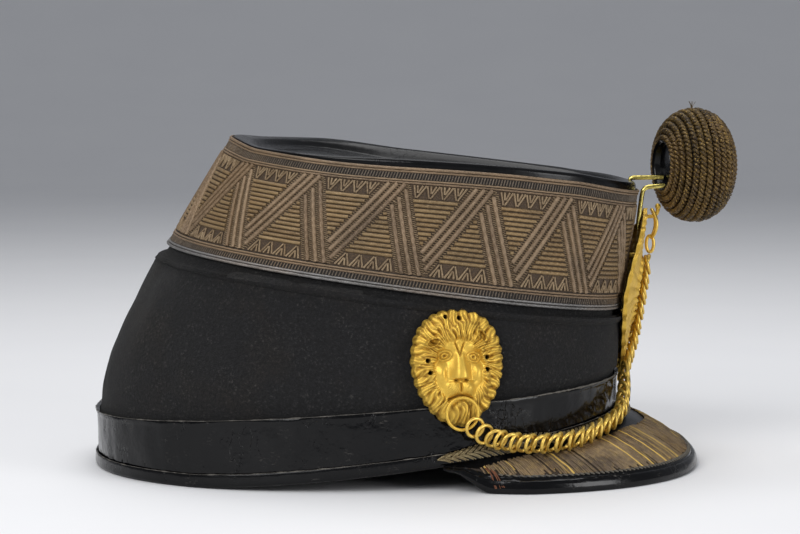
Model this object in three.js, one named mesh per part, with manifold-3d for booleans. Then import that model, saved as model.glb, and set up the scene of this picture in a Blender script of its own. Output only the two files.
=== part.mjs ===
// Officer's shako: felt body, leather crown, headband and peak, lace band, gilt fittings and pompom.
// Millimetres, +Z up. +X is the wearer's front, +Y the wearer's left, and the hat stands on z = 0.
import * as THREE from 'three';
import { mergeVertices } from 'three/addons/utils/BufferGeometryUtils.js';
import Module from 'manifold-3d';

// ---------- driving dimensions ----------

// Outline of the hat at each level: an oval from back to front, on a plane that slopes along X.
const LEVELS = [
  { name: 'rim', backX: -105, backZ: 0, frontX: 104.5, frontZ: 18.9, halfWidth: 87 },
  { name: 'bandTop', backX: -106, backZ: 22, frontX: 105, frontZ: 36.7, halfWidth: 86.5 },
  { name: 'lowFelt', backX: -100.5, backZ: 44, frontX: 105.3, frontZ: 44, halfWidth: 84.8 },
  { name: 'midFelt', backX: -90, backZ: 66, frontX: 105.6, frontZ: 53, halfWidth: 82.4 },
  { name: 'highFelt', backX: -80.5, backZ: 82.5, frontX: 105.8, frontZ: 60, halfWidth: 80.2 },
  { name: 'laceBottom', backX: -77, backZ: 88, frontX: 106, frontZ: 62.6, halfWidth: 79.2 },
  { name: 'crownEdge', backX: -51, backZ: 131, frontX: 113, frontZ: 112, halfWidth: 69.4 },
];
const RIM = 0;
const BAND_TOP = 1;
const LACE_BOTTOM = 5;
const CROWN_EDGE = 6;
const OVAL_POWER = 2.25; // a little squarer than an ellipse
// The crown's edge has sunk a little with age: each side in its own place, and the front.
const CROWN_SAG_RIGHT = { depth: 3.3, from: -53, full: -38, ease: -20, end: 66 };
const CROWN_SAG_LEFT = { depth: 2.6, from: -20, full: 20, ease: 88, end: 108 };
const CROWN_FRONT_DROP = { depth: 2.6, from: 84 };
const RIM_LIFT_START_X = -63; // behind this the rim lies flat on the table
const RIM_LIFT_POWER = 1.3; // in front of it the rim curves up to the peak
const AROUND = 60; // stations around the hat

const GAP = 0.3; // between neighbouring pieces
const FELT_THICK = 2.0;
const TRIM_THICK = 1.5; // headband and lace, whose outer faces are the hat's outline
const FELT_OUT = -(TRIM_THICK + GAP); // the felt's outer face under the trim

const BINDING = { wall: 0.8, height: 5, sole: 1.2, chamfer: 0.8 }; // leather folded round the rim

const CROWN = { rimHeight: 1.8, sink: 3.2, thick: 1.6 };

const PEAK = {
  hornX: 33, // where the peak's ends meet the rim
  hornAngle: 16, // the same place as an angle on the rim, in degrees
  reach: 103.6, // from hornX to the tip
  halfWidth: 94,
  hornTuck: 5.8, // the ends draw in to the hat by this much
  power: 2.4,
  thick: 2.0,
  dome: 1.8,
  edgeZ: 2.8,
  hornRise: 6.2,
  rootLift: 1.0, // above the rim, where the board meets the hat
  rootGap: 0.3,
  stations: 44,
};
const PEAK_BINDING = { width: 4.2, wall: 0.8, clear: 0.6 };
const EMBROIDERY = { thick: 0.9, inset: 6, pointInset: 10.5, pointReach: 0.3 };
const BRAID = { foot: 5, rise: 4.8, nose: 1.3 }; // fills the corner between peak and rim

const BOSS = { x: 38, z: 48.5, halfWidth: 18.2, up: 20.5, down: 21.5, lean: 9, turn: 13.3, standOff: 0.6 };
const BOSS_GRID = { spokes: 40, rings: 11 };
const RING = { radius: 6.0, wire: 0.6, drop: 19.5, out: 6.2, tilt: 8 };

const LINK = { radius: 3.3, wire: 0.75, pitch: 6.2, twist: 30, around: 8, sides: 4 };
// Chain, from the lion's ring round the front above the peak: degrees round the rim, mm out, mm up.
const CHAIN_SWAG = [
  { angle: 24, out: 7.6, z: 21.2 },
  { angle: 30, out: 8.5, z: 18.6 },
  { angle: 37, out: 9.5, z: 17.8 },
  { angle: 46, out: 9.3, z: 18.9 },
  { angle: 56, out: 8, z: 21.5 },
  { angle: 66, out: 7, z: 24.6 },
  { angle: 75, out: 6.5, z: 29.2 },
  { angle: 82, out: 5.6, z: 36.5 },
];
// Then up in front of the plate, beside its other half.
const CHAIN_RISE = [
  { x: 113, y: -5.2, z: 47 },
  { x: 115.7, y: -4.8, z: 58 },
  { x: 117.4, y: -4.6, z: 69 },
  { x: 118, y: -4.4, z: 79 },
];
// The two links that hang the chain on the plate's hook: half sizes across and up, and their bow.
const HOOK_LINKS = [
  { name: 'chain_hook_link', x: 118.8, z: 95.2, across: 3, up: 5.7, bow: 1.8, turn: 0 },
  { name: 'chain_join_link', x: 118.8, z: 87.3, across: 2.2, up: 4.2, bow: 0, turn: 90 },
];
const HOOK_LINK_WIRE = 0.7;

const PLATE = {
  z: 68.5,
  up: 33,
  down: 34,
  halfWidth: 29.5,
  standOff: 3.6,
  thick: 1.1,
  bend: 85,
  spokes: 48,
  rings: 9,
  rays: 24,
  rayDepth: 1.4,
  wreathRadius: 12.5,
  wreathHeight: 1.5,
  bossHeight: 1.4,
};
const PLATE_POST = { radius: 1.5, z: [59, 82] };
const TONGUE = { x: 109.6, thick: 1.2, width: 7, low: 23.2, high: 34 }; // leather, behind the chain
const HOOK = { wire: 0.8, z: 98, rise: 4.2, reach: 6.2 };

const POMPOM = { x: 135.5, z: 119, radius: 23, halfLength: 16.5, turn: 15, socket: 8.5, socketDepth: 5.5 };
const POMPOM_WIRE = 0.9;
const POMPOM_END_DROP = { outer: 6.7, inner: 5.6 }; // where the wires enter, below the pompom's middle

// ---------- colours ----------

const FINISHES = {
  felt: { color: 0x1b1b1d, roughness: 0.95, metalness: 0 },
  leather: { color: 0x1a1b20, roughness: 0.3, metalness: 0 },
  lace: { color: 0x7a6248, roughness: 0.6, metalness: 0.3 },
  gilt: { color: 0xb08a2a, roughness: 0.4, metalness: 1 },
  brass: { color: 0x9a8a48, roughness: 0.3, metalness: 1 },
  bullion: { color: 0x5a4224, roughness: 0.7, metalness: 0.3 },
};

const shako = new THREE.Group();

function addPart(name, geometry, finish) {
  const mesh = new THREE.Mesh(geometry, new THREE.MeshStandardMaterial(FINISHES[finish]));
  mesh.name = name;
  shako.add(mesh);
  return mesh;
}

// ---------- solids from rings of points ----------

const radians = THREE.MathUtils.degToRad;
const lerp = THREE.MathUtils.lerp;
const smooth = THREE.MathUtils.smoothstep;

function signedVolume(points, faces) {
  let sum = 0;
  const cross = new THREE.Vector3();
  for (const [a, b, c] of faces) {
    sum += points[a].dot(cross.crossVectors(points[b], points[c]));
  }
  return sum / 6;
}

function closedGeometry(points, faces) {
  const outward = signedVolume(points, faces) > 0;
  const geometry = new THREE.BufferGeometry();
  geometry.setFromPoints(points);
  geometry.setIndex(faces.flatMap(([a, b, c]) => (outward ? [a, b, c] : [a, c, b])));
  geometry.computeVertexNormals();
  return geometry;
}

function bandFaces(first, second, size) {
  const faces = [];
  for (let i = 0; i < size; i++) {
    const next = (i + 1) % size;
    faces.push([first + i, first + next, second + next]);
    faces.push([first + i, second + next, second + i]);
  }
  return faces;
}

// Rings of equal size joined one to the next. A closed sweep also joins the last to the first.
function sweep(rings, closed) {
  const size = rings[0].length;
  const points = rings.flat();
  const faces = [];
  const joints = closed ? rings.length : rings.length - 1;
  for (let r = 0; r < joints; r++) {
    faces.push(...bandFaces(r * size, ((r + 1) % rings.length) * size, size));
  }
  if (!closed) {
    const last = (rings.length - 1) * size;
    for (let i = 0; i < size / 2 - 1; i++) {
      const far = size - 1 - i;
      faces.push([i, far - 1, i + 1], [i, far, far - 1]);
      faces.push([last + i, last + i + 1, last + far - 1], [last + i, last + far - 1, last + far]);
    }
  }
  return closedGeometry(points, faces);
}

// Rings joined one to the next, with a point in the middle of the first and of the last.
function stack(rings) {
  const size = rings[0].length;
  const points = rings.flat();
  const faces = [];
  for (let r = 0; r < rings.length - 1; r++) {
    faces.push(...bandFaces(r * size, (r + 1) * size, size));
  }
  const middle = (ring) => ring.reduce((sum, p) => sum.add(p), new THREE.Vector3()).divideScalar(size);
  points.push(middle(rings[0]), middle(rings.at(-1)));
  const lastRing = (rings.length - 1) * size;
  for (let i = 0; i < size; i++) {
    const next = (i + 1) % size;
    faces.push([points.length - 2, next, i]);
    faces.push([points.length - 1, lastRing + i, lastRing + next]);
  }
  return closedGeometry(points, faces);
}

// ---------- joins and cuts ----------

const wasm = await Module();
wasm.setup();

function toSolid(geometry) {
  const bare = geometry.clone();
  bare.deleteAttribute('normal');
  bare.deleteAttribute('uv');
  const merged = mergeVertices(bare, 1e-4);
  return new wasm.Manifold(new wasm.Mesh({
    numProp: 3,
    vertProperties: new Float32Array(merged.attributes.position.array),
    triVerts: new Uint32Array(merged.index.array),
  }));
}

function fromSolid(solid) {
  const mesh = solid.getMesh();
  const geometry = new THREE.BufferGeometry();
  geometry.setAttribute('position', new THREE.BufferAttribute(mesh.vertProperties, 3));
  geometry.setIndex(new THREE.BufferAttribute(mesh.triVerts, 1));
  geometry.computeVertexNormals();
  return geometry;
}

function joined(geometries) {
  return geometries.map(toSolid).reduce((whole, piece) => whole.add(piece));
}

// ---------- the hat's outline ----------

const signedPower = (value, power) => Math.sign(value) * Math.abs(value) ** power;

function sagAt(x, { depth, from, full, ease, end }) {
  return depth * smooth(x, from, full) * (1 - smooth(x, ease, end));
}

function crownDrop(x, y) {
  const left = 0.5 + 0.5 * y / LEVELS[CROWN_EDGE].halfWidth;
  const sag = lerp(sagAt(x, CROWN_SAG_RIGHT), sagAt(x, CROWN_SAG_LEFT), left);
  const front = smooth(x, CROWN_FRONT_DROP.from, LEVELS[CROWN_EDGE].frontX);
  return sag + CROWN_FRONT_DROP.depth * front;
}

function levelPoint(level, angle, out) {
  const middle = (level.backX + level.frontX) / 2;
  const half = (level.frontX - level.backX) / 2 + out;
  const x = middle + half * signedPower(Math.sin(angle), 2 / OVAL_POWER);
  const y = -(level.halfWidth + out) * signedPower(Math.cos(angle), 2 / OVAL_POWER);
  if (level === LEVELS[RIM]) {
    const along = Math.max(0, (x - RIM_LIFT_START_X) / (level.frontX - RIM_LIFT_START_X));
    return new THREE.Vector3(x, y, level.frontZ * along ** RIM_LIFT_POWER);
  }
  const along = (x - level.backX) / (level.frontX - level.backX);
  const drop = level === LEVELS[CROWN_EDGE] ? crownDrop(x, y) : 0;
  return new THREE.Vector3(x, y, lerp(level.backZ, level.frontZ, along) - drop);
}

// A point at a level, at an angle from the right side (0) to the front (90 degrees), moved out and up.
function hatPoint(level, angle, out = 0, up = 0) {
  const lower = Math.min(Math.floor(level), LEVELS.length - 2);
  const point = levelPoint(LEVELS[lower], angle, out);
  point.lerp(levelPoint(LEVELS[lower + 1], angle, out), level - lower);
  point.z += up;
  return point;
}

const angleAt = (station, stations) => (station / stations) * 2 * Math.PI;

function hatRing(profile) {
  const rings = [];
  for (let s = 0; s < AROUND; s++) {
    rings.push(profile.map(([level, out, up]) => hatPoint(level, angleAt(s, AROUND), out, up)));
  }
  return sweep(rings, true);
}

// ---------- felt body ----------

function makeBody() {
  const foot = BINDING.sole + GAP;
  const bulge = [FELT_OUT, FELT_OUT, -0.4, -0.2, -0.4, FELT_OUT, FELT_OUT]; // by level
  const outer = bulge.map((out, level) => [level, out, level === RIM ? foot : 0]);
  const inner = outer.map(([level, out, up]) => [level, out - FELT_THICK, up]).reverse();
  addPart('body', hatRing([...outer, ...inner]), 'felt');
}

// ---------- leather crown, headband and rim binding ----------

function makeCrownTop() {
  const { rimHeight, sink, thick } = CROWN;
  const edge = [
    [-14, -sink],
    [-8, -sink * 0.6],
    [-5, rimHeight * 0.6],
    [-3, rimHeight],
    [-1.4, rimHeight * 0.9],
    [-0.7, rimHeight * 0.4],
    [-1.4, GAP],
    [-5.6, GAP],
    [-9, -sink * 0.6 - thick],
    [-14, -sink - thick],
  ];
  const rings = edge.map(([out, up]) => {
    const ring = [];
    for (let s = 0; s < AROUND; s++) {
      ring.push(hatPoint(CROWN_EDGE, angleAt(s, AROUND), out, up));
    }
    return ring;
  });
  addPart('crown_top', stack(rings), 'leather');
}

function makeHeadband() {
  const foot = BINDING.sole + GAP;
  addPart('headband', hatRing([
    [RIM, 0, foot],
    [BAND_TOP, 0, -0.6],
    [BAND_TOP, -0.6, 0],
    [BAND_TOP, -TRIM_THICK, 0],
    [RIM, -TRIM_THICK, foot],
  ]), 'leather');
}

function makeRimBinding() {
  const { wall, height, sole, chamfer } = BINDING;
  const outside = GAP + wall;
  const inside = FELT_OUT - FELT_THICK - GAP;
  addPart('rim_binding', hatRing([
    [RIM, outside, height],
    [RIM, outside, chamfer],
    [RIM, outside - chamfer, 0],
    [RIM, inside, 0],
    [RIM, inside - wall, chamfer],
    [RIM, inside - wall, height],
    [RIM, inside, height],
    [RIM, inside, sole],
    [RIM, GAP, sole],
    [RIM, GAP, height],
  ]), 'leather');
}

// ---------- lace ----------

function makeLaceBand() {
  addPart('lace_band', hatRing([
    [LACE_BOTTOM, -TRIM_THICK, 0],
    [LACE_BOTTOM, -0.4, 0],
    [LACE_BOTTOM + 0.02, 0, 0],
    [LACE_BOTTOM + 0.98, 0, 0],
    [CROWN_EDGE, -0.4, 0],
    [CROWN_EDGE, -TRIM_THICK, 0],
  ]), 'lace');
}

// ---------- peak ----------

// Across the peak at u (-1 right end, 0 middle, 1 left end): its root, its edge and the way between.
function peakLine(u) {
  const outside = GAP + BINDING.wall + PEAK.rootGap;
  const rootAngle = radians(90 + (90 - PEAK.hornAngle) * u);
  const root = hatPoint(RIM, rootAngle, outside, PEAK.rootLift);
  const sweepAngle = (Math.PI / 2) * u;
  const tuck = PEAK.hornTuck * smooth(Math.abs(u), 0.82, 1) * Math.sign(u);
  const edge = new THREE.Vector3(
    PEAK.hornX + PEAK.reach * Math.cos(sweepAngle) ** (2 / PEAK.power),
    PEAK.halfWidth * signedPower(Math.sin(sweepAngle), 2 / PEAK.power) - tuck,
    PEAK.edgeZ + PEAK.hornRise * smooth(Math.abs(u), 0.86, 1),
  );
  const width = Math.hypot(edge.x - root.x, edge.y - root.y);
  const way = new THREE.Vector3(edge.x - root.x, edge.y - root.y, 0).divideScalar(width);
  const dome = PEAK.dome * smooth(width, 0, 30);
  // the point at a distance from the root, a height above the board's upper face
  const at = (distance, height) => {
    const t = distance / width;
    const z = lerp(root.z, edge.z, t) + dome * Math.sin(Math.PI * THREE.MathUtils.clamp(t, 0, 1));
    return new THREE.Vector3(root.x, root.y, z + height).addScaledVector(way, distance);
  };
  return { width, at };
}

// A strip of the peak from one horn to the other; section(line, u) gives its outline.
function peakStrip(from, to, section) {
  const rings = [];
  for (let s = 0; s <= PEAK.stations; s++) {
    const u = lerp(from, to, s / PEAK.stations);
    rings.push(section(peakLine(u), u));
  }
  return sweep(rings, false);
}

// How far from the root the edge binding starts, on a peak of this width.
const bindingStart = (width) => width - Math.min(PEAK_BINDING.width, width * 0.75);

function makePeak() {
  const { thick } = PEAK;
  const inside = PEAK_BINDING.wall + GAP;
  const board = peakStrip(-1, 1, ({ width, at }) => {
    const lapped = bindingStart(width);
    const steps = [0, lapped / 3, (lapped * 2) / 3, lapped, width - inside];
    return [...steps.map((d) => at(d, 0)), ...steps.reverse().map((d) => at(d, -thick))];
  });
  addPart('peak', board, 'leather');
}

function makePeakBinding() {
  const { wall } = PEAK_BINDING;
  const over = PEAK_BINDING.clear;
  const under = -PEAK.thick - over;
  const binding = peakStrip(-1, 1, ({ width, at }) => {
    const inner = bindingStart(width);
    const mouth = width - wall;
    return [
      at(inner, over + wall),
      at(mouth, over + wall),
      at(width, over),
      at(width, under),
      at(mouth, under - wall),
      at(inner, under - wall),
      at(inner, under),
      at(mouth, under),
      at(mouth, over),
      at(inner, over),
    ];
  });
  addPart('peak_binding', binding, 'leather');
}

function makeEmbroidery() {
  const { thick, inset, pointInset, pointReach } = EMBROIDERY;
  const cloth = peakStrip(-0.86, 0.86, ({ width, at }, u) => {
    const start = lerp(pointInset, inset, Math.min(1, Math.abs(u) / pointReach));
    const lapped = bindingStart(width);
    const steps = [start, (lapped * 2) / 3, lapped - GAP];
    const base = steps.map((d) => at(d, GAP)).reverse();
    return [...steps.map((d) => at(d, GAP + thick)), ...base];
  });
  addPart('peak_embroidery', cloth, 'lace');
}

function makePeakBraid() {
  const { rise, nose } = BRAID;
  const braid = peakStrip(-0.92, 0.92, ({ width, at }) => {
    const foot = Math.min(BRAID.foot, bindingStart(width) - 2 * GAP);
    return [
      at(GAP, GAP),
      at(foot, GAP),
      at(foot, nose),
      at(foot * 0.72, nose + 1.4),
      at(nose, rise),
      at(GAP, rise),
    ];
  });
  addPart('peak_braid', braid, 'lace');
}

// ---------- lion bosses and their rings ----------

const bump = (p, q, atP, atQ, wideP, wideQ) => Math.exp(-(((p - atP) / wideP) ** 2) - ((q - atQ) / wideQ) ** 2);

// Relief of the lion's head: p across, q up, in mm from its middle.
function lionHeight(p, q, rim) {
  const theta = Math.atan2(q, p);
  const side = Math.abs(p);
  const mane = 0.9 * Math.cos(11 * theta) * smooth(rim, 0.45, 0.8);
  const dome = 1.4 + 4.2 * Math.sqrt(Math.max(0, 1 - rim * rim));
  const face = 2.6 * bump(p, q, 0, 1, 6.5, 9) + 2.4 * bump(p, q, 0, -6.5, 5, 4.2);
  const bridge = 1.1 * bump(p, q, 0, -1, 1.8, 6) + 0.9 * bump(side, q, 3.8, 5.4, 2.4, 1.5);
  const hollows = 1.2 * bump(side, q, 4.2, 3.0, 1.8, 1.2) + 1.3 * bump(p, q, 0, -11, 3.2, 1.1);
  const beard = 1.6 * bump(p, q, 0, -16, 4, 3.5);
  return dome + mane + face + bridge - hollows + beard;
}

function lionGeometry() {
  const outline = (theta) => {
    const tall = Math.sin(theta) > 0 ? BOSS.up : BOSS.down;
    const base = 1 / Math.hypot(Math.cos(theta) / BOSS.halfWidth, Math.sin(theta) / tall);
    return base * (0.97 + 0.03 * Math.abs(Math.cos(5.5 * theta)));
  };
  const ring = (scale, height) => {
    const points = [];
    for (let s = 0; s < BOSS_GRID.spokes; s++) {
      const theta = angleAt(s, BOSS_GRID.spokes);
      const radius = outline(theta) * scale;
      const p = radius * Math.cos(theta);
      const q = radius * Math.sin(theta);
      points.push(new THREE.Vector3(p, q, height(p, q, scale)));
    }
    return points;
  };
  const rings = [];
  for (let r = 1; r <= BOSS_GRID.rings; r++) {
    rings.push(ring(r / BOSS_GRID.rings, lionHeight));
  }
  rings.push(ring(0.98, () => 0), ring(0.4, () => 0));
  return stack(rings);
}

// The boss's own frame: p to the wearer's front, q up the side, r outward. side is -1 right, 1 left.
function bossFrame(side) {
  const surface = new THREE.Vector3(BOSS.x, 0, BOSS.z);
  const halfWidth = sideWidthAt(BOSS.x, BOSS.z);
  surface.y = side * (halfWidth + BOSS.standOff);
  const turn = radians(BOSS.turn);
  const lean = radians(BOSS.lean);
  const across = new THREE.Vector3(Math.cos(turn), -side * Math.sin(turn), 0);
  const outward = new THREE.Vector3(Math.sin(turn) * Math.cos(lean), side * Math.cos(turn) * Math.cos(lean), Math.sin(lean));
  const upward = new THREE.Vector3().crossVectors(outward, across).multiplyScalar(side < 0 ? 1 : -1);
  return { surface, across, upward, outward };
}

// How far the hat's side stands from its middle plane at a place, found by stepping up the levels.
function sideWidthAt(x, z) {
  let best = { miss: Infinity, y: 0 };
  for (let level = 0; level <= CROWN_EDGE; level += 0.05) {
    for (let degrees = 0; degrees < 80; degrees += 1) {
      const point = hatPoint(level, radians(degrees));
      const miss = Math.hypot(point.x - x, point.z - z);
      if (miss < best.miss) {
        best = { miss, y: -point.y };
      }
    }
  }
  return best.y;
}

function ringGeometry() {
  const ring = new THREE.TorusGeometry(RING.radius, RING.wire, 6, 20);
  ring.rotateX(radians(RING.tilt));
  ring.translate(0, -RING.drop, RING.out);
  return ring;
}

function placedOnSide(geometry, side) {
  const { surface, across, upward, outward } = bossFrame(side);
  const placed = geometry.clone();
  placed.applyMatrix4(new THREE.Matrix4().makeBasis(across, upward, outward).setPosition(surface));
  if (placed.index && side > 0) {
    const index = placed.index.array;
    for (let i = 0; i < index.length; i += 3) {
      [index[i + 1], index[i + 2]] = [index[i + 2], index[i + 1]];
    }
  }
  return placed;
}

function makeBosses() {
  const groove = new THREE.TorusGeometry(RING.radius, RING.wire + GAP, 8, 20);
  groove.rotateX(radians(RING.tilt));
  groove.translate(0, -RING.drop, RING.out);
  const head = fromSolid(toSolid(lionGeometry()).subtract(toSolid(groove)));
  for (const [name, side] of [['right', -1], ['left', 1]]) {
    addPart(`boss_${name}`, placedOnSide(head, side), 'gilt');
    addPart(`boss_ring_${name}`, placedOnSide(ringGeometry(), side), 'gilt');
  }
}

// ---------- chin chain ----------

function chainRoute(side) {
  const swag = CHAIN_SWAG.map(({ angle, out, z }) => {
    const point = hatPoint(RIM, radians(angle), out);
    return new THREE.Vector3(point.x, -side * point.y, z);
  });
  const rise = CHAIN_RISE.map(({ x, y, z }) => new THREE.Vector3(x, -side * y, z));
  return new THREE.CatmullRomCurve3([...swag, ...rise], false, 'centripetal');
}

// Links along part of the route, each twisted the same way about the chain's own line.
function chainLinks(route, from, to) {
  const length = route.getLength();
  const count = Math.round(((to - from) * length) / LINK.pitch);
  const links = [];
  for (let i = 0; i < count; i++) {
    const t = lerp(from, to, (i + 0.5) / count);
    const along = route.getTangentAt(t);
    const place = route.getPointAt(t);
    const away = new THREE.Vector3(place.x - 20, place.y, 0).normalize();
    const across = new THREE.Vector3().crossVectors(away, along).normalize();
    const outward = new THREE.Vector3().crossVectors(along, across);
    const link = new THREE.TorusGeometry(LINK.radius, LINK.wire, LINK.sides, LINK.around);
    link.rotateX(radians(LINK.twist));
    link.applyMatrix4(new THREE.Matrix4().makeBasis(along, across, outward).setPosition(place));
    links.push(link);
  }
  return joined(links);
}

// An oval link, bowed forward in its middle and turned about its own upright.
function hookLink({ x, z, across, up, bow, turn }) {
  const stations = 14;
  const sides = 6;
  const rings = [];
  for (let s = 0; s < stations; s++) {
    const t = angleAt(s, stations);
    const centre = new THREE.Vector3(across * Math.cos(t), up * Math.sin(t), bow * Math.cos(t) ** 2);
    const outward = new THREE.Vector3(up * Math.cos(t), across * Math.sin(t), 0).normalize();
    const ring = [];
    for (let i = 0; i < sides; i++) {
      const angle = angleAt(i, sides);
      const point = centre.clone().addScaledVector(outward, HOOK_LINK_WIRE * Math.cos(angle));
      point.z += HOOK_LINK_WIRE * Math.sin(angle);
      ring.push(point);
    }
    rings.push(ring);
  }
  const link = sweep(rings, true);
  link.rotateX(Math.PI / 2);
  link.rotateZ(Math.PI / 2 + radians(turn));
  link.translate(x, 0, z);
  return link;
}

const CHAIN_SPANS = [
  { name: 'swag', from: 0, to: 0.315 },
  { name: 'front', from: 0.345, to: 0.665 },
  { name: 'rise', from: 0.695, to: 1 },
];

function makeChain() {
  for (const [name, side] of [['right', -1], ['left', 1]]) {
    const route = chainRoute(side);
    for (const span of CHAIN_SPANS) {
      addPart(`chain_${span.name}_${name}`, fromSolid(chainLinks(route, span.from, span.to)), 'gilt');
    }
  }
  for (const link of HOOK_LINKS) {
    addPart(link.name, hookLink(link), 'gilt');
  }
}

// ---------- front plate ----------

// The plate's surface in front of the hat: y across, z up, a height off the plate's back.
function plateSurface(y, z, height) {
  const front = hatPoint(LACE_BOTTOM, Math.PI / 2).x;
  const crown = hatPoint(CROWN_EDGE, Math.PI / 2);
  const low = LEVELS[LACE_BOTTOM].frontZ;
  const lean = (z - low) / (crown.z - low) * (crown.x - front);
  const bend = PLATE.bend - Math.sqrt(PLATE.bend ** 2 - y * y);
  return new THREE.Vector3(front + lean + PLATE.standOff - bend + height, y, z);
}

function plateHeight(y, z, rim) {
  const theta = Math.atan2(z, y);
  const radius = Math.hypot(y, z);
  const rays = 0.35 * Math.cos(PLATE.rays * theta) * smooth(rim, 0.45, 0.6);
  const wreath = PLATE.wreathHeight * Math.exp(-(((radius - PLATE.wreathRadius) / 2.2) ** 2));
  const boss = PLATE.bossHeight * smooth(PLATE.wreathRadius - 3 - radius, 0, 3);
  return PLATE.thick + 0.6 * (1 - rim) + rays + wreath + boss;
}

function plateGeometry() {
  const ring = (scale, height) => {
    const points = [];
    for (let s = 0; s < PLATE.spokes; s++) {
      const theta = angleAt(s, PLATE.spokes);
      const tall = Math.sin(theta) > 0 ? PLATE.up : PLATE.down;
      const lens = (Math.abs(Math.cos(theta)) / PLATE.halfWidth) ** 1.5 + (Math.abs(Math.sin(theta)) / tall) ** 1.5;
      const reach = lens ** (-1 / 1.5) - PLATE.rayDepth * (0.5 - 0.5 * Math.cos(PLATE.rays * theta));
      const y = reach * scale * Math.cos(theta);
      const z = reach * scale * Math.sin(theta);
      points.push(plateSurface(y, PLATE.z + z, height(y, z, scale)));
    }
    return points;
  };
  const rings = [];
  for (let r = 1; r <= PLATE.rings; r++) {
    rings.push(ring(r / PLATE.rings, plateHeight));
  }
  rings.push(ring(1, () => 0), ring(0.66, () => 0), ring(0.33, () => 0));
  return stack(rings);
}

function tube(points, radius, sides, steps) {
  const section = new THREE.Shape();
  for (let i = 0; i < sides; i++) {
    const angle = angleAt(i, sides);
    const at = [radius * Math.cos(angle), radius * Math.sin(angle)];
    if (i === 0) {
      section.moveTo(...at);
    } else {
      section.lineTo(...at);
    }
  }
  section.closePath();
  return new THREE.ExtrudeGeometry(section, { steps, extrudePath: new THREE.CatmullRomCurve3(points) });
}

function makePlate() {
  const pieces = [plateGeometry()];
  for (const z of PLATE_POST.z) {
    const start = plateSurface(0, z, 0.4);
    const post = new THREE.CylinderGeometry(PLATE_POST.radius, PLATE_POST.radius, PLATE.standOff - GAP, 10);
    post.rotateZ(Math.PI / 2);
    post.translate(start.x - (PLATE.standOff - GAP) / 2, 0, z);
    pieces.push(post);
  }
  const root = plateSurface(0, HOOK.z, 0.2);
  pieces.push(tube([
    root,
    new THREE.Vector3(root.x + HOOK.reach * 0.7, 0, HOOK.z + 0.2),
    new THREE.Vector3(root.x + HOOK.reach, 0, HOOK.z + HOOK.rise * 0.5),
    new THREE.Vector3(root.x + HOOK.reach, 0, HOOK.z + HOOK.rise),
  ], HOOK.wire, 7, 10));
  const knob = new THREE.SphereGeometry(HOOK.wire * 1.5, 10, 7);
  knob.translate(root.x + HOOK.reach, 0, HOOK.z + HOOK.rise);
  pieces.push(knob);
  addPart('front_plate', fromSolid(joined(pieces)), 'gilt');
}

function makeChainTongue() {
  const { x, thick, width, low, high } = TONGUE;
  const tongue = new THREE.BoxGeometry(thick, width, high - low);
  tongue.translate(x, 0, (low + high) / 2);
  addPart('chain_tongue', tongue, 'leather');
}

// ---------- pompom ----------

function makePompom() {
  const { radius, halfLength, socket, socketDepth } = POMPOM;
  const profile = [new THREE.Vector2(0, -halfLength + socketDepth)];
  profile.push(new THREE.Vector2(socket, -halfLength + socketDepth));
  profile.push(new THREE.Vector2(socket, -halfLength * 0.99));
  const start = -Math.asin(0.95);
  const end = Math.PI / 2;
  const steps = 14;
  for (let i = 0; i <= steps; i++) {
    const angle = lerp(start, end, i / steps);
    const around = Math.max(0, Math.cos(angle)) ** 0.72 * radius;
    profile.push(new THREE.Vector2(i === steps ? 0 : around, halfLength * Math.sin(angle)));
  }
  const ball = new THREE.LatheGeometry(profile, 28);
  const turn = new THREE.Matrix4().makeRotationZ(radians(POMPOM.turn) - Math.PI / 2);
  ball.applyMatrix4(turn);
  ball.translate(POMPOM.x, 0, POMPOM.z);
  addPart('pompom', fromSolid(toSolid(ball)), 'bullion');

  const cup = new THREE.CylinderGeometry(socket - GAP, socket - GAP, 1.2, 24);
  cup.translate(0, -halfLength + socketDepth - GAP - 0.6, 0);
  cup.applyMatrix4(turn);
  cup.translate(POMPOM.x, 0, POMPOM.z);
  addPart('pompom_base', cup, 'leather');
}

function makePompomWires() {
  const crown = hatPoint(CROWN_EDGE, Math.PI / 2);
  const mouth = POMPOM.x - POMPOM.halfLength + 1;
  const outerEnd = POMPOM.z - POMPOM_END_DROP.outer;
  const innerEnd = POMPOM.z - POMPOM_END_DROP.inner;
  const outer = tube([
    new THREE.Vector3(crown.x - 0.4, -6.8, crown.z - 15),
    new THREE.Vector3(crown.x + 0.5, -6.8, crown.z - 7),
    new THREE.Vector3(crown.x + 1.6, -6.8, crown.z - 1),
    new THREE.Vector3(crown.x + 4, -6.7, crown.z + 0.9),
    new THREE.Vector3(mouth - 3, -6.4, lerp(crown.z + 1.2, outerEnd, 0.7)),
    new THREE.Vector3(mouth, -6.2, outerEnd),
  ], POMPOM_WIRE, 8, 26);
  addPart('pompom_wire_outer', outer, 'brass');
  const top = crown.z + CROWN.rimHeight + POMPOM_WIRE + GAP;
  const inner = tube([
    new THREE.Vector3(crown.x - 2.6, 0.4, top),
    new THREE.Vector3(crown.x + 1, 0.3, top),
    new THREE.Vector3(mouth - 3, 0.1, lerp(top, innerEnd, 0.7)),
    new THREE.Vector3(mouth, 0, innerEnd),
  ], POMPOM_WIRE, 8, 20);
  addPart('pompom_wire_inner', inner, 'brass');
}

makeBody();
makeCrownTop();
makeHeadband();
makeRimBinding();
makeLaceBand();
makePeak();
makePeakBinding();
makeEmbroidery();
makePeakBraid();
makeBosses();
makeChain();
makePlate();
makeChainTongue();
makePompom();
makePompomWires();

// The origin is the middle of the hat's footprint box, on the table.
const box = new THREE.Box3().setFromObject(shako);
shako.position.set(-(box.min.x + box.max.x) / 2, -(box.min.y + box.max.y) / 2, -box.min.z);
shako.updateMatrixWorld(true);

export default shako;
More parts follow.
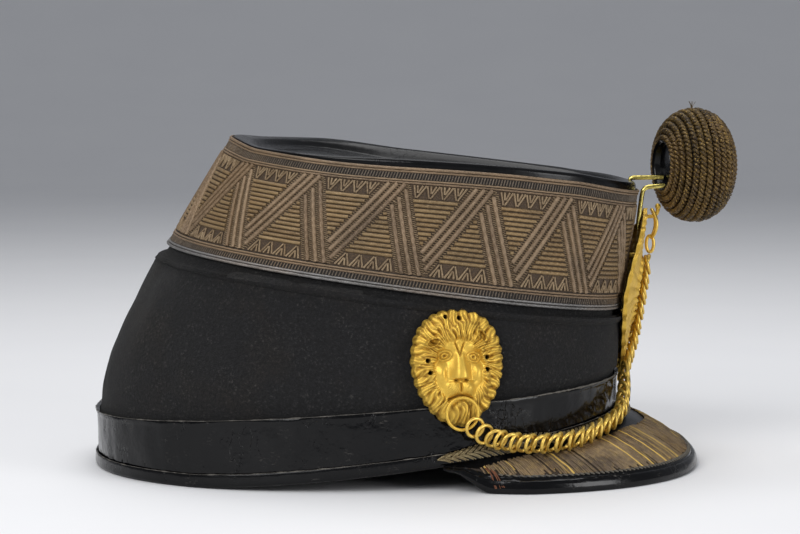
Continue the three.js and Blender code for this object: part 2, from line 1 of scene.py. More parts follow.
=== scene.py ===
"""Officer's shako: the visible felt, leather, lace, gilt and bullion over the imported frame.

Work is in millimetres in the hat's own frame (+X front, +Y wearer's left, +Z up) and is turned to
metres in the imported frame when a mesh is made.
"""
import math
import random
from bisect import bisect_right

import bpy
from mathutils import Matrix, Vector, noise


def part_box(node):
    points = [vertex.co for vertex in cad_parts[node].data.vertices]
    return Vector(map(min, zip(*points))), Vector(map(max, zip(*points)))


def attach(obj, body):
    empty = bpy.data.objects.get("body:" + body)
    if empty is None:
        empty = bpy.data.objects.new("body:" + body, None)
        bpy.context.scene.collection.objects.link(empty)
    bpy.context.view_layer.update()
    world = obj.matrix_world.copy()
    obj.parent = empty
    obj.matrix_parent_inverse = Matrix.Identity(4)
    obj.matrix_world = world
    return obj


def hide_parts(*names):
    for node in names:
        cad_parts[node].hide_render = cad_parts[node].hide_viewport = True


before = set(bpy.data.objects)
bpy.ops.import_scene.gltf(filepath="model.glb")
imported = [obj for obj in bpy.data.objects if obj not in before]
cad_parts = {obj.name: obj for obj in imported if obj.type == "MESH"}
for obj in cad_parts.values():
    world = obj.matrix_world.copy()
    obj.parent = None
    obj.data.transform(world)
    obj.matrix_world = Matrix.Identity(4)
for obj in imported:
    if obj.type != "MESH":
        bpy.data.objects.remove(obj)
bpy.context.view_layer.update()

bl_info = {
    "name": "Officer's shako",
    "version": (1, 0, 0),
    "blender": (4, 5, 0),
    "location": "View3D > Sidebar > Shako",
    "description": "Builds the visible pieces of a felt and leather shako around its packed frame",
    "category": "Add Mesh",
}

MM = 0.001
MERGE = 1e-6  # metres

# Walls and thread radii, in millimetres.
THICK = {
    "felt": 2.0, "crown": 1.2, "headband": 1.3, "rim": 0.7, "lace": 0.85, "lace_border": 0.1,
    "peak": 2.0, "peak_edge": 0.7, "peak_ground": 0.25, "plate": 0.5, "tongue": 1.1,
    "pompom_core": 0.4, "pompom_cup": 0.5,
}
THREAD = {
    "worn_edge": 0.26, "row": 0.72, "tooth": 0.46, "rung": 0.2, "bar": 0.3, "stitch": 0.36,
    "wire": 0.36, "braid": 0.39, "fray": 0.22, "bullion": 0.72, "tuft": 0.16,
    "hook": 0.8, "post": 1.5, "hook_link": 0.7, "pompom_wire": 0.95,
}

# ---------- the hat's outline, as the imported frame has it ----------

# Ovals from back to front on sloping planes: back x and z, front x and z, half width.
LEVELS = (
    (-105, 0, 104.5, 18.9, 87),  # rim
    (-106, 22, 105, 36.7, 86.5),  # top of the headband
    (-100.5, 44, 105.3, 44, 84.8),
    (-90, 66, 105.6, 53, 82.4),
    (-80.5, 82.5, 105.8, 60, 80.2),  # the felt's fold under the lace
    (-77, 88, 106, 62.6, 79.2),  # foot of the lace
    (-51, 131, 113, 112, 69.4),  # edge of the crown
)
RIM, BAND_TOP, FELT_FOLD, LACE_FOOT, CROWN_EDGE = 0, 1, 4, 5, 6
OVAL_POWER = 2.25
RIM_LIFT_START, RIM_LIFT_POWER = -63, 1.3
RIM_MIDDLE = -0.25  # the rim's middle along X

rim_low, rim_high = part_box("rim_binding")
SHIFT = (rim_low.x + rim_high.x) / 2 - RIM_MIDDLE * MM


def metres(point):
    """A place in the hat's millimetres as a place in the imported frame."""
    return Vector((point[0] * MM + SHIFT, point[1] * MM, point[2] * MM))


def signed_power(value, power):
    return math.copysign(abs(value) ** power, value)


def lerp(a, b, t):
    return a + (b - a) * t


def smooth(value, low, high):
    t = min(max((value - low) / (high - low), 0), 1)
    return t * t * (3 - 2 * t)


def bell(value, width):
    """A soft rise that is 1 where the value is 0 and has gone a little past the width."""
    return math.exp(-(value / width) ** 2)


def curve_between(before, start, end, after, t):
    """A place from start (t 0) to end (t 1) on the smooth curve through four places."""
    bend = (end - before) * t + (before * 2 - start * 5 + end * 4 - after) * t * t
    bend += (start * 3 - before - end * 3 + after) * t ** 3
    return start + bend * 0.5


def on_profile(profile, v):
    """The pair at v, from 0 to 1, along a profile whose corners are evenly shared out."""
    place = v * (len(profile) - 1)
    index = min(int(place), len(profile) - 2)
    (first, second), (first_end, second_end) = profile[index:index + 2]
    return lerp(first, first_end, place - index), lerp(second, second_end, place - index)


def away_from(point, x=0):
    """The level direction from the upright line at x to a point."""
    return Vector((point.x - x, point.y, 0)).normalized()


def round_angle(u):
    """The hat's angle at a share of the way round, from the front by the left side."""
    return math.pi / 2 + 2 * math.pi * u


def crown_drop(x, y):
    """How far the crown's edge has sunk: each side in its own place, and the front."""
    right = 3.3 * smooth(x, -53, -38) * (1 - smooth(x, -20, 66))
    left = 2.6 * smooth(x, -20, 20) * (1 - smooth(x, 88, 108))
    share = 0.5 + 0.5 * y / LEVELS[CROWN_EDGE][4]
    return lerp(right, left, share) + 2.6 * smooth(x, 84, 113)


def level_point(index, angle, out):
    back_x, back_z, front_x, front_z, half_width = LEVELS[index]
    half = (front_x - back_x) / 2 + out
    x = (back_x + front_x) / 2 + half * signed_power(math.sin(angle), 2 / OVAL_POWER)
    y = -(half_width + out) * signed_power(math.cos(angle), 2 / OVAL_POWER)
    if index == RIM:
        along = max(0, (x - RIM_LIFT_START) / (front_x - RIM_LIFT_START))
        return Vector((x, y, front_z * along ** RIM_LIFT_POWER))
    drop = crown_drop(x, y) if index == CROWN_EDGE else 0
    return Vector((x, y, lerp(back_z, front_z, (x - back_x) / (front_x - back_x)) - drop))


def hat_point(level, angle, out=0.0, up=0.0):
    """A point on the hat: angle 0 is the right side, 90 degrees the front, 180 the left side."""
    index = min(int(level), len(LEVELS) - 2)
    first = level_point(index, angle, out)
    point = first.lerp(level_point(index + 1, angle, out), level - index)
    point.z += up
    return point


def round_point(level, angle, out=0.0):
    """As hat_point, but on a curve that runs smoothly through the levels."""
    index = min(int(level), len(LEVELS) - 2)
    t = level - index
    near = (min(max(index + step, 0), CROWN_EDGE) for step in (-1, 0, 1, 2))
    rows = [level_point(row, angle, out) for row in near]
    if index == BAND_TOP:
        rows[0] = rows[1] * 2 - rows[2]
    return curve_between(*rows, t)


def make_way_round():
    """Angles at equal lengths round the lace, from the front by the left side and the back."""
    steps = 720
    angles = [round_angle(step / steps) for step in range(steps + 1)]
    points = [hat_point((LACE_FOOT + CROWN_EDGE) / 2, angle) for angle in angles]
    lengths = [0.0]
    for first, second in zip(points, points[1:]):
        lengths.append(lengths[-1] + (second - first).length)
    return angles, lengths


WAY_ANGLES, WAY_LENGTHS = make_way_round()
WAY_LENGTH = WAY_LENGTHS[-1]


def angle_at(length):
    length %= WAY_LENGTH
    index = min(bisect_right(WAY_LENGTHS, length) - 1, len(WAY_ANGLES) - 2)
    start, end = WAY_LENGTHS[index], WAY_LENGTHS[index + 1]
    return lerp(WAY_ANGLES[index], WAY_ANGLES[index + 1], (length - start) / (end - start))


# ---------- the peak's outline ----------

PEAK = {
    "horn_x": 33, "horn_angle": 16, "reach": 103.6, "half_width": 94, "tuck": 5.8, "power": 2.4,
    "dome": 1.8, "edge_z": 2.8, "horn_rise": 6.2, "root_out": 1.4, "root_lift": 1.0,
}
EDGE_LAP = 4.2


class PeakLine:
    """Across the peak from its root to its edge at u: -1 right end, 0 middle, 1 left end."""

    def __init__(self, u):
        root_angle = math.radians(90 + (90 - PEAK["horn_angle"]) * u)
        self.root = hat_point(RIM, root_angle, PEAK["root_out"], PEAK["root_lift"])
        turn = math.pi / 2 * u
        tuck = math.copysign(PEAK["tuck"] * smooth(abs(u), 0.82, 1), u)
        self.edge = Vector((
            PEAK["horn_x"] + PEAK["reach"] * max(math.cos(turn), 0) ** (2 / PEAK["power"]),
            PEAK["half_width"] * signed_power(math.sin(turn), 2 / PEAK["power"]) - tuck,
            PEAK["edge_z"] + PEAK["horn_rise"] * smooth(abs(u), 0.915, 1),
        ))
        way = self.edge - self.root
        way.z = 0
        self.width = way.length
        self.way = way.normalized()
        self.dome = PEAK["dome"] * smooth(self.width, 0, 30)

    def at(self, distance, height=0.0):
        t = distance / self.width
        arch = self.dome * math.sin(math.pi * min(max(t, 0), 1))
        point = self.root + self.way * distance
        point.z = lerp(self.root.z, self.edge.z, t) + arch + height
        return point


# ---------- making meshes ----------


def deselect_all():
    bpy.ops.object.select_all(action="DESELECT")


def pick(piece):
    deselect_all()
    piece.select_set(True)
    bpy.context.view_layer.objects.active = piece


def apply_modifier(piece, kind, **settings):
    pick(piece)
    modifier = piece.modifiers.new(kind.title(), kind)
    for name, value in settings.items():
        setattr(modifier, name, value)
    bpy.ops.object.modifier_apply(modifier=modifier.name)


def tidy_mesh(piece):
    """Merges doubles and turns the faces outwards."""
    pick(piece)
    bpy.ops.object.mode_set(mode="EDIT")
    bpy.ops.mesh.select_all(action="SELECT")
    bpy.ops.mesh.remove_doubles(threshold=MERGE)
    bpy.ops.mesh.normals_make_consistent(inside=False)
    bpy.ops.object.mode_set(mode="OBJECT")


def surface(name, columns, rows, place):
    """A grid whose points are laid by place(u, v), each from 0 to 1, in millimetres."""
    deselect_all()
    bpy.ops.mesh.primitive_grid_add(x_subdivisions=columns, y_subdivisions=rows, size=1)
    piece = bpy.context.active_object
    piece.name = name
    for vertex in piece.data.vertices:
        vertex.co = metres(place(vertex.co.x + 0.5, vertex.co.y + 0.5))
    tidy_mesh(piece)
    return piece


def shell(name, columns, rows, place, thick):
    """A surface given a wall, inwards from the face that place lays."""
    piece = surface(name, columns, rows, place)
    apply_modifier(piece, "SOLIDIFY", thickness=thick * MM, offset=-1)
    return piece


def cords(name, lines, radius, sides=1):
    """Round threads along lines of points: each a place, or a place and a share of the radius."""
    deselect_all()
    bpy.ops.curve.primitive_nurbs_path_add(location=(0, 0, 0))
    piece = bpy.context.active_object
    piece.name = name
    curve = piece.data
    curve.splines.clear()
    for line in lines:
        closed = line[0] == "closed"
        points = line[1:] if closed else line
        spline = curve.splines.new("POLY")
        spline.points.add(len(points) - 1)
        for target, point in zip(spline.points, points):
            place, share = point if isinstance(point, tuple) else (point, 1)
            target.co = (*metres(place), 1)
            target.radius = share
        spline.use_cyclic_u = closed
    curve.dimensions = "3D"
    curve.bevel_depth = radius * MM
    curve.bevel_resolution = sides
    curve.use_fill_caps = True
    bpy.ops.object.convert(target="MESH")
    return bpy.context.active_object


def torus(radius, wire, segments, sides):
    """A ring in millimetres, for copies to place."""
    deselect_all()
    bpy.ops.mesh.primitive_torus_add(
        major_radius=radius, minor_radius=wire, major_segments=segments, minor_segments=sides)
    return bpy.context.active_object


def ball(place, radius):
    deselect_all()
    bpy.ops.mesh.primitive_uv_sphere_add(segments=24, ring_count=14, radius=1)
    piece = bpy.context.active_object
    piece.data.transform(Matrix.Translation(metres(place)) @ Matrix.Scale(radius * MM, 4))
    return piece


def copies(name, source, matrices):
    """One mesh of many copies of the source, which is then removed. Matrices are in millimetres."""
    corners = [vertex.co.copy() for vertex in source.data.vertices]
    faces = [tuple(face.vertices) for face in source.data.polygons]
    points, polygons = [], []
    for matrix in matrices:
        start = len(points)
        points.extend(metres(matrix @ corner) for corner in corners)
        flip = matrix.determinant() < 0
        for face in faces:
            order = reversed(face) if flip else face
            polygons.append([start + index for index in order])
    mesh = bpy.data.meshes.new(name)
    mesh.from_pydata(points, [], polygons)
    piece = bpy.data.objects.new(name, mesh)
    bpy.context.scene.collection.objects.link(piece)
    bpy.data.objects.remove(source)
    return piece


def joined(name, pieces):
    deselect_all()
    for piece in pieces:
        piece.select_set(True)
    bpy.context.view_layer.objects.active = pieces[0]
    bpy.ops.object.join()
    pieces[0].name = name
    return pieces[0]


def finish(piece, material, slot, *nodes, crease=None):
    """Gives a piece its material and smooth shading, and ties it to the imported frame."""
    pick(piece)
    piece.data.materials.clear()
    piece.data.materials.append(material)
    if crease is None:
        bpy.ops.object.shade_smooth()
    else:
        bpy.ops.object.shade_smooth_by_angle(angle=math.radians(crease))
    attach(piece, "root")
    if nodes:
        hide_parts(*nodes)
    return piece


# ---------- materials ----------


def linear(code):
    """An sRGB hex colour as linear RGBA."""
    values = [int(code[i:i + 2], 16) / 255 for i in (1, 3, 5)]
    return tuple(v / 12.92 if v <= 0.04045 else ((v + 0.055) / 1.055) ** 2.4 for v in values) + (1,)


def add(tree, kind, inputs=(), **settings):
    """Adds a node, sets its settings, and fills its inputs with values or links."""
    made = tree.nodes.new(kind)
    for name, value in settings.items():
        setattr(made, name, value)
    for name, value in dict(inputs).items():
        if isinstance(value, bpy.types.NodeSocket):
            tree.links.new(value, made.inputs[name])
        else:
            made.inputs[name].default_value = value
    return made


def per(size):
    """The scale that gives a pattern this feature size in millimetres."""
    return 1 / (size * MM)


class Finish:
    """A material in the making: its tree, its shader and its object coordinates."""

    def __init__(self, name, **shader):
        self.material = bpy.data.materials.new(name)
        self.material.use_nodes = True
        self.tree = self.material.node_tree
        self.shader = self.tree.nodes["Principled BSDF"]
        for socket, value in shader.items():
            self.shader.inputs[socket.replace("_", " ")].default_value = value
        self.coords = add(self.tree, "ShaderNodeTexCoord").outputs["Object"]

    def noise(self, size, detail=2.0, rough=0.5, stretch=(1, 1, 1)):
        where = self.coords
        if stretch != (1, 1, 1):
            inputs = {"Vector": where, "Scale": stretch}
            where = add(self.tree, "ShaderNodeMapping", inputs).outputs[0]
        made = add(self.tree, "ShaderNodeTexNoise", {
            "Vector": where, "Scale": per(size), "Detail": detail, "Roughness": rough,
        })
        return made.outputs["Fac"]

    def cells(self, size):
        made = add(self.tree, "ShaderNodeTexVoronoi", {"Vector": self.coords, "Scale": per(size)})
        return made.outputs["Distance"]

    def lay(self, size):
        """Fine slanting turns, as metal strip winds round its silk."""
        made = add(self.tree, "ShaderNodeTexWave", {
            "Vector": self.coords, "Scale": per(size) / 20 * math.pi, "Distortion": 1.5,
            "Detail": 1.0, "Detail Scale": 2.0,
        }, wave_type="BANDS", bands_direction="DIAGONAL")
        return made.outputs["Fac"]

    def span(self, value, low, high, to_low=0.0, to_high=1.0):
        made = add(self.tree, "ShaderNodeMapRange", {
            "Value": value, "From Min": low, "From Max": high, "To Min": to_low, "To Max": to_high,
        })
        return made.outputs["Result"]

    def maths(self, first, second, operation="MULTIPLY"):
        made = add(self.tree, "ShaderNodeMath", operation=operation)
        for socket, value in zip(made.inputs, (first, second)):
            if isinstance(value, bpy.types.NodeSocket):
                self.tree.links.new(value, socket)
            else:
                socket.default_value = value
        return made.outputs[0]

    def blend(self, share, first, second):
        made = add(self.tree, "ShaderNodeMix", data_type="RGBA")
        for index, value in ((0, share), (6, first), (7, second)):
            if isinstance(value, bpy.types.NodeSocket):
                self.tree.links.new(value, made.inputs[index])
            else:
                made.inputs[index].default_value = value
        return made.outputs[2]

    def colour(self, value):
        self.tree.links.new(value, self.shader.inputs["Base Color"])

    def rough(self, value):
        self.tree.links.new(value, self.shader.inputs["Roughness"])

    def bumps(self, *layers):
        """Stacks bumps: each layer is a height and its depth in millimetres."""
        normal = None
        for height, depth in layers:
            inputs = {"Height": height, "Distance": depth * MM, "Strength": 1.0}
            if normal is not None:
                inputs["Normal"] = normal
            normal = add(self.tree, "ShaderNodeBump", inputs).outputs["Normal"]
        self.tree.links.new(normal, self.shader.inputs["Normal"])


def fur_felt(colours):
    """Fur felt: fulled hair, so it is dull, with a short nap that catches dust as pale specks, and
    painted shade that darkens the nap's low places.
    """
    felt = Finish("black fur felt", Roughness=0.9, Sheen_Weight=0.08, Sheen_Roughness=0.5)
    felt.shader.inputs["Sheen Tint"].default_value = linear("#8A8880")
    felt.shader.inputs["Specular IOR Level"].default_value = 0.3
    nap = felt.noise(1.1, 4, 0.75)
    faded = felt.span(felt.noise(24, 3, 0.6), 0.5, 0.8)
    base = felt.blend(faded, colours.felt, linear("#241F1B"))
    # Painted shade: the nap's low places, where its bump sinks, are darkened towards black.
    nap_with_painted_shade = felt.blend(felt.span(nap, 0.38, 0.66), linear("#0A0A0B"), base)
    dust = felt.maths(felt.span(nap, 0.58, 0.72), felt.span(felt.noise(8, 2), 0.35, 0.65))
    felt.colour(felt.blend(dust, nap_with_painted_shade, linear("#4C4A46")))
    felt.bumps((nap, 1.1), (felt.noise(0.4, 2), 0.3))
    return felt.material


def patent_leather(name, colours, crackle, scuff, gloss):
    """Patent leather: hide under a shining varnish, which creases and scuffs grey with age."""
    hide = Finish(name, Roughness=gloss)
    hide.shader.inputs["Specular IOR Level"].default_value = 0.22
    creases = hide.noise(5, 4, 0.55, (1, 1, 0.4))
    off_middle = hide.maths(hide.maths(creases, 0.5, "SUBTRACT"), 0, "ABSOLUTE")
    fold = hide.span(off_middle, 0.0, 0.02, 1, 0)
    zones = hide.span(hide.noise(19, 3, 0.55), 0.52, 0.64, 0, crackle * 0.7)
    creased = hide.maths(fold, zones)
    worn = hide.span(hide.noise(8, 5, 0.65), 0.55, 0.7, 0, scuff)
    marks = hide.maths(worn, hide.span(hide.noise(0.7, 3, 0.7, (0.4, 0.4, 1)), 0.55, 0.7))
    hide.colour(hide.blend(marks, colours.leather, linear("#56534F")))
    haze = hide.span(hide.noise(12, 4, 0.6), 0.4, 0.7, gloss, gloss + 0.1)
    hide.rough(hide.maths(haze, hide.maths(marks, 0.35), "ADD"))
    hide.bumps(
        (hide.noise(9, 3, 0.5), crackle * 0.3 + 0.12),
        (hide.noise(1.6, 3, 0.6), crackle * 0.05),
        (creased, -0.3),
    )
    return hide.material


def metal_thread(name, dark, mid, light, shine, grain=0.45, strand_tone_and_glint=(0, 1, 0.45),
                 fleck_glints=(0.45, 0.75, 0.75)):
    """Tarnished metal thread: silk wound with gilt strip, so dull brown, with its own tone varying
    strand by strand, and painted glints as light strands and light flecks.
    """
    thread = Finish(name, Metallic=shine, Roughness=0.5)
    island = add(thread.tree, "ShaderNodeNewGeometry").outputs["Random Per Island"]
    patch = thread.noise(14, 3, 0.6)
    glint_fleck = thread.noise(grain, 2, 0.7)
    tone = thread.blend(thread.span(patch, 0.38, 0.64), linear(dark), linear(mid))
    warm = thread.span(thread.noise(42, 2), 0.48, 0.66, 0, 0.35)
    tone = thread.blend(warm, tone, linear("#7E6038"))
    # Random whole strands go towards the light colour: partly the strands' own tone, partly painted
    # glints.
    low, high, most = strand_tone_and_glint
    tone = thread.blend(thread.span(island, low, high, 0, most), tone, linear(light))
    # Small light flecks are painted glints; the same noise also makes them smoother and raised.
    low, high, most = fleck_glints
    thread.colour(thread.blend(thread.span(glint_fleck, low, high, 0, most), tone, linear(light)))
    thread.rough(thread.span(glint_fleck, 0.3, 0.8, 0.62, 0.38))
    turns = thread.lay(0.85)
    thread.bumps((glint_fleck, 0.18), (turns, 0.22))
    return thread.material


def matt_gilt(name, colour, shade, gloss):
    """Fire-gilt brass: a fine matt gold, brown with dirt in the hollows and near-black in the
    pierced holes, where the black is painted shade; one attribute marks both.
    """
    gilt = Finish(name, Metallic=0.7, Roughness=gloss)
    grime_and_hole_shade = add(gilt.tree, "ShaderNodeAttribute", attribute_name="grime_and_hole_shade").outputs["Fac"]
    tone = gilt.blend(gilt.span(gilt.noise(4, 4, 0.6), 0.42, 0.72, 0, 0.6), colour, linear(shade))
    tone = gilt.blend(gilt.span(grime_and_hole_shade, 0.1, 1.0, 0, 0.85), tone, linear("#6E460C"))
    # Painted shade: past 1 the attribute marks the pierced holes, whose colour goes near-black.
    gilt.colour(gilt.blend(gilt.span(grime_and_hole_shade, 1.0, 1.8), tone, linear("#050302")))
    gilt.rough(gilt.span(gilt.noise(0.5, 2), 0.3, 0.7, gloss - 0.05, gloss + 0.1))
    gilt.bumps((gilt.noise(0.3, 2), 0.03))
    return gilt.material


def bright_wire(colours):
    """Drawn brass wire, lightly tarnished: smooth and bright, greenish yellow."""
    wire = Finish("drawn brass wire", Metallic=1.0, Roughness=0.25)
    spots = wire.span(wire.noise(1.5, 3), 0.45, 0.7)
    wire.colour(wire.blend(spots, colours.wire, linear("#7D7038")))
    wire.rough(wire.span(spots, 0, 1, 0.22, 0.42))
    return wire.material


def dark_ground(name, first, second):
    """Silk backing between metal threads: brown, matt and finely woven."""
    ground = Finish(name, Roughness=0.8)
    weave = ground.cells(0.55)
    tone = ground.blend(ground.noise(11, 3), linear(first), linear(second))
    ground.colour(ground.blend(ground.span(weave, 0.2, 0.6, 0, 0.6), tone, linear("#1B120A")))
    ground.bumps((weave, 0.2))
    return ground.material


def linen_thread(name, code):
    """Waxed linen thread: matt, with fine lay."""
    thread = Finish(name, Roughness=0.7)
    thread.colour(thread.blend(thread.noise(0.5, 2), linear(code), linear("#1A1410")))
    return thread.material


def painted_floor():
    """Matt white-painted board: even and pale, with the faintest mottle."""
    paint = Finish("matt white paint", Roughness=0.6)
    paint.colour(paint.blend(paint.noise(120, 2), linear("#E9E9EA"), linear("#E4E4E6")))
    return paint.material


# ---------- settings ----------


def colour_setting(name, description, code):
    return bpy.props.FloatVectorProperty(
        name=name, description=description, size=4, subtype="COLOR", default=linear(code))


class ShakoColours(bpy.types.PropertyGroup):
    """Colours a user would change."""

    felt: colour_setting("Felt", "Fur felt of the body", "#1A1A1C")
    leather: colour_setting("Leather", "Patent leather of crown, band and peak", "#060607")
    gilt: colour_setting("Gilt", "Bosses, chain and plate", "#D9B44C")
    wire: colour_setting("Wire", "Brass wires of the pompom", "#C9B968")


class ShakoSizes(bpy.types.PropertyGroup):
    """Sizes a user would change."""

    repeats: bpy.props.IntProperty(
        name="Lace repeats", description="Zigzags in the lace, all round", default=15, min=4)
    rib: bpy.props.FloatProperty(
        name="Rib width", description="Width of a zigzag rib of the lace, in mm", default=1.75)
    wire_pitch: bpy.props.FloatProperty(
        name="Wire pitch", description="Spacing of the peak's gold wires, in mm", default=0.8)
    link: bpy.props.FloatProperty(
        name="Link diameter", description="Outer diameter of a chain link, in mm", default=8.4)
    link_pitch: bpy.props.FloatProperty(
        name="Link pitch", description="Spacing of the chain's links, in mm", default=3.1)


def colours():
    return bpy.context.scene.shako_colours


def sizes():
    return bpy.context.scene.shako_sizes


# ---------- body, crown and leather ----------

FELT_OUT = -1.8


def felt_place(u, v):
    """The felt's outer face: bulged between the trims, with a few soft dents."""
    angle = round_angle(u)
    level = lerp(0.93, 5.2, v)
    free = smooth(level, 1.0, 1.5) * (1 - smooth(level, 4.3, 5.0))
    point = round_point(level, angle, lerp(FELT_OUT, -0.2, free))
    dents = 1.5 * noise.noise(point / 34) + 0.6 * noise.noise(point / 13)
    back = smooth(-point.x, 40, 80)
    return point + away_from(point, 5) * free * (dents * (0.6 + 0.8 * back))


def make_felt():
    piece = shell("felt_body", 300, 64, felt_place, THICK["felt"])
    return finish(piece, fur_felt(colours()), "fur_felt", "body", crease=40)


def crown_place(u, v):
    """The crown from its middle (v 0) over the rolled rim to its turned-down edge (v 1)."""
    angle = round_angle(u)
    rise = lerp(0.5, 3.0, smooth(level_point(CROWN_EDGE, angle, 0).x, -48, 20))
    profile = (  # share of the way, out, up
        (0.0, None, -3.6), (0.35, -22, -3.4), (0.5, -13, -3.2), (0.6, -9.5, -2.2),
        (0.67, -7.2, 0.2 * rise), (0.73, -5.4, 0.75 * rise), (0.79, -3.6, rise),
        (0.86, -1.9, 0.94 * rise), (0.92, -1.2, 0.6 * rise), (1.0, -1.2, -0.4),
    )
    for (start, out_a, up_a), (end, out_b, up_b) in zip(profile, profile[1:]):
        if v <= end:
            t = (v - start) / (end - start)
            if out_a is None:
                front, back = (hat_point(CROWN_EDGE, turn * math.pi / 2) for turn in (1, -1))
                centre = front.lerp(back, 0.5)
                point = centre.lerp(hat_point(CROWN_EDGE, angle, out_b), t)
                point.z += lerp(up_a, up_b, t)
            else:
                point = hat_point(CROWN_EDGE, angle, lerp(out_a, out_b, t), lerp(up_a, up_b, t))
            break
    point.z += 0.5 * noise.noise(point / 25) * (1 - smooth(v, 0.45, 0.7))
    return point


def make_crown(leather):
    piece = shell("crown_leather", 240, 60, crown_place, THICK["crown"])
    return finish(piece, leather, "patent_leather", "crown_top", crease=50)


def band_place(u, v):
    """The headband's outer face, a little puckered, from the binding up to its rolled edge."""
    angle = round_angle(u)
    point = hat_point(lerp(0.07, 1.0, v), angle, -0.15)
    pucker = 0.22 * noise.noise(Vector((point.x / 5, point.y / 5, point.z / 22)))
    slack = 0.5 * noise.noise(point / 20)
    roll = 0.35 * bell(v - 0.965, 0.03)
    held = smooth(v, 0, 0.1) * smooth(1 - v, -0.02, 0.08)
    point += away_from(point) * ((pucker + slack) * held + roll)
    point.z += 0.35 * noise.noise(Vector((angle * 9, 0, 4))) * smooth(v, 0.8, 1)
    return point


def make_headband(leather):
    piece = shell("headband_leather", 420, 26, band_place, THICK["headband"])
    return finish(piece, leather, "patent_leather", "headband", crease=50)


RIM_PROFILE = (  # out, up: from the outer face's top, under the rim, to the inner face's top
    (0.7, 5.2), (1.15, 4.9), (1.3, 4.2), (1.35, 2.5), (1.3, 1.1), (0.9, 0.3), (0.2, 0.0),
    (-4.0, 0.0), (-4.6, 0.3), (-4.9, 1.0), (-4.9, 5.0),
)
RIM_OUTER_FACE = 0.5  # share of the profile


def rim_place(u, v):
    """The binding round the rim: down its outer face, under and up the inner face."""
    angle = round_angle(u)
    point = hat_point(RIM, angle, *on_profile(RIM_PROFILE, v))
    if v < RIM_OUTER_FACE:
        point += away_from(point) * 0.18 * noise.noise(point / 6)
    return point


def make_rim(leather):
    piece = shell("rim_leather", 360, 30, rim_place, THICK["rim"])
    return finish(piece, leather, "patent_leather", "rim_binding", crease=50)


def make_worn_edges(material):
    """Hide showing pale where the varnish has gone from the edges of headband and binding."""
    loops = []
    for level, out, up in ((BAND_TOP, 0.1, 0.1), (RIM, 1.0, 5.1)):
        loop = ["closed"]
        for i in range(420):
            angle = 2 * math.pi * i / 420
            waver = 0.1 * noise.noise(Vector((angle * 14, level, 0)))
            point = hat_point(level, angle, out, up + waver)
            wear = 0.25 + 0.75 * smooth(noise.noise(Vector((angle * 22, 5 * level, 2))), -0.1, 0.35)
            if level == BAND_TOP:
                degrees = math.degrees(angle)
                peeled = smooth(degrees, 34, 42) * (1 - smooth(degrees, 74, 82))
                wear += 1.4 * peeled * (0.6 + noise.noise(Vector((angle * 40, 1, 7))))
            loop.append((point, wear))
        loops.append(loop)
    return finish(cords("worn_edges", loops, THREAD["worn_edge"]), material, "patent_leather")


class SHAKO_OT_body(bpy.types.Operator):
    """Felt body, with its dents and nap"""

    bl_idname = "shako.body"
    bl_label = "Felt body"

    def execute(self, context):
        make_felt()
        return {"FINISHED"}


class SHAKO_OT_leather(bpy.types.Operator):
    """Crown, headband and rim binding"""

    bl_idname = "shako.leather"
    bl_label = "Crown and headband"

    def execute(self, context):
        crown = patent_leather("patent leather, crown", colours(), 0.15, 0.15, 0.2)
        band = patent_leather("patent leather, headband", colours(), 1.0, 0.6, 0.12)
        rim = patent_leather("patent leather, rim", colours(), 0.5, 0.7, 0.16)
        make_crown(crown)
        make_headband(band)
        make_rim(rim)
        make_worn_edges(linen_thread("worn hide edge", "#6E6A62"))
        return {"FINISHED"}


# ---------- lace ----------

LACE_HEIGHT = 50
FIELD = (6.9, 43.0)  # foot and top of the zigzag field
RIB_PITCH = 3.15  # along the lace
LACE_START = 22.2  # the first zigzag's foot, to the right of the front
ROW_PITCH = 1.85
HOLE_PITCH = 0.95
TOOTH_PITCH = 4.9
TOOTH_BASE, TOOTH_MIDDLE, TOOTH_TIP = 0.3, 2.5, 5.3  # from the field's edge


def lace_point(s, v, height=0.0):
    """A point on the lace: s round it, v up it and a height off it."""
    return hat_point(LACE_FOOT + v / LACE_HEIGHT, angle_at(s), height)


def lace_line(start, end, step, height):
    """A straight line on the lace, from (s, v) to (s, v)."""
    length = math.hypot(end[0] - start[0], end[1] - start[1])
    count = max(1, round(length / step))
    return [lace_point(lerp(start[0], end[0], i / count), lerp(start[1], end[1], i / count), height)
            for i in range(count + 1)]


def ladder(start, end, reach, height):
    """Short threads laid across a line on the lace, with a hole between each and the next."""
    length = math.hypot(end[0] - start[0], end[1] - start[1])
    count = max(1, round(length / HOLE_PITCH))
    rungs = []
    for i in range(count):
        t = (i + 0.5) / count
        s, v = lerp(start[0], end[0], t), lerp(start[1], end[1], t)
        rungs.append([lace_point(s + way * reach, v - way * 0.15, height) for way in (-1, 1)])
    return rungs


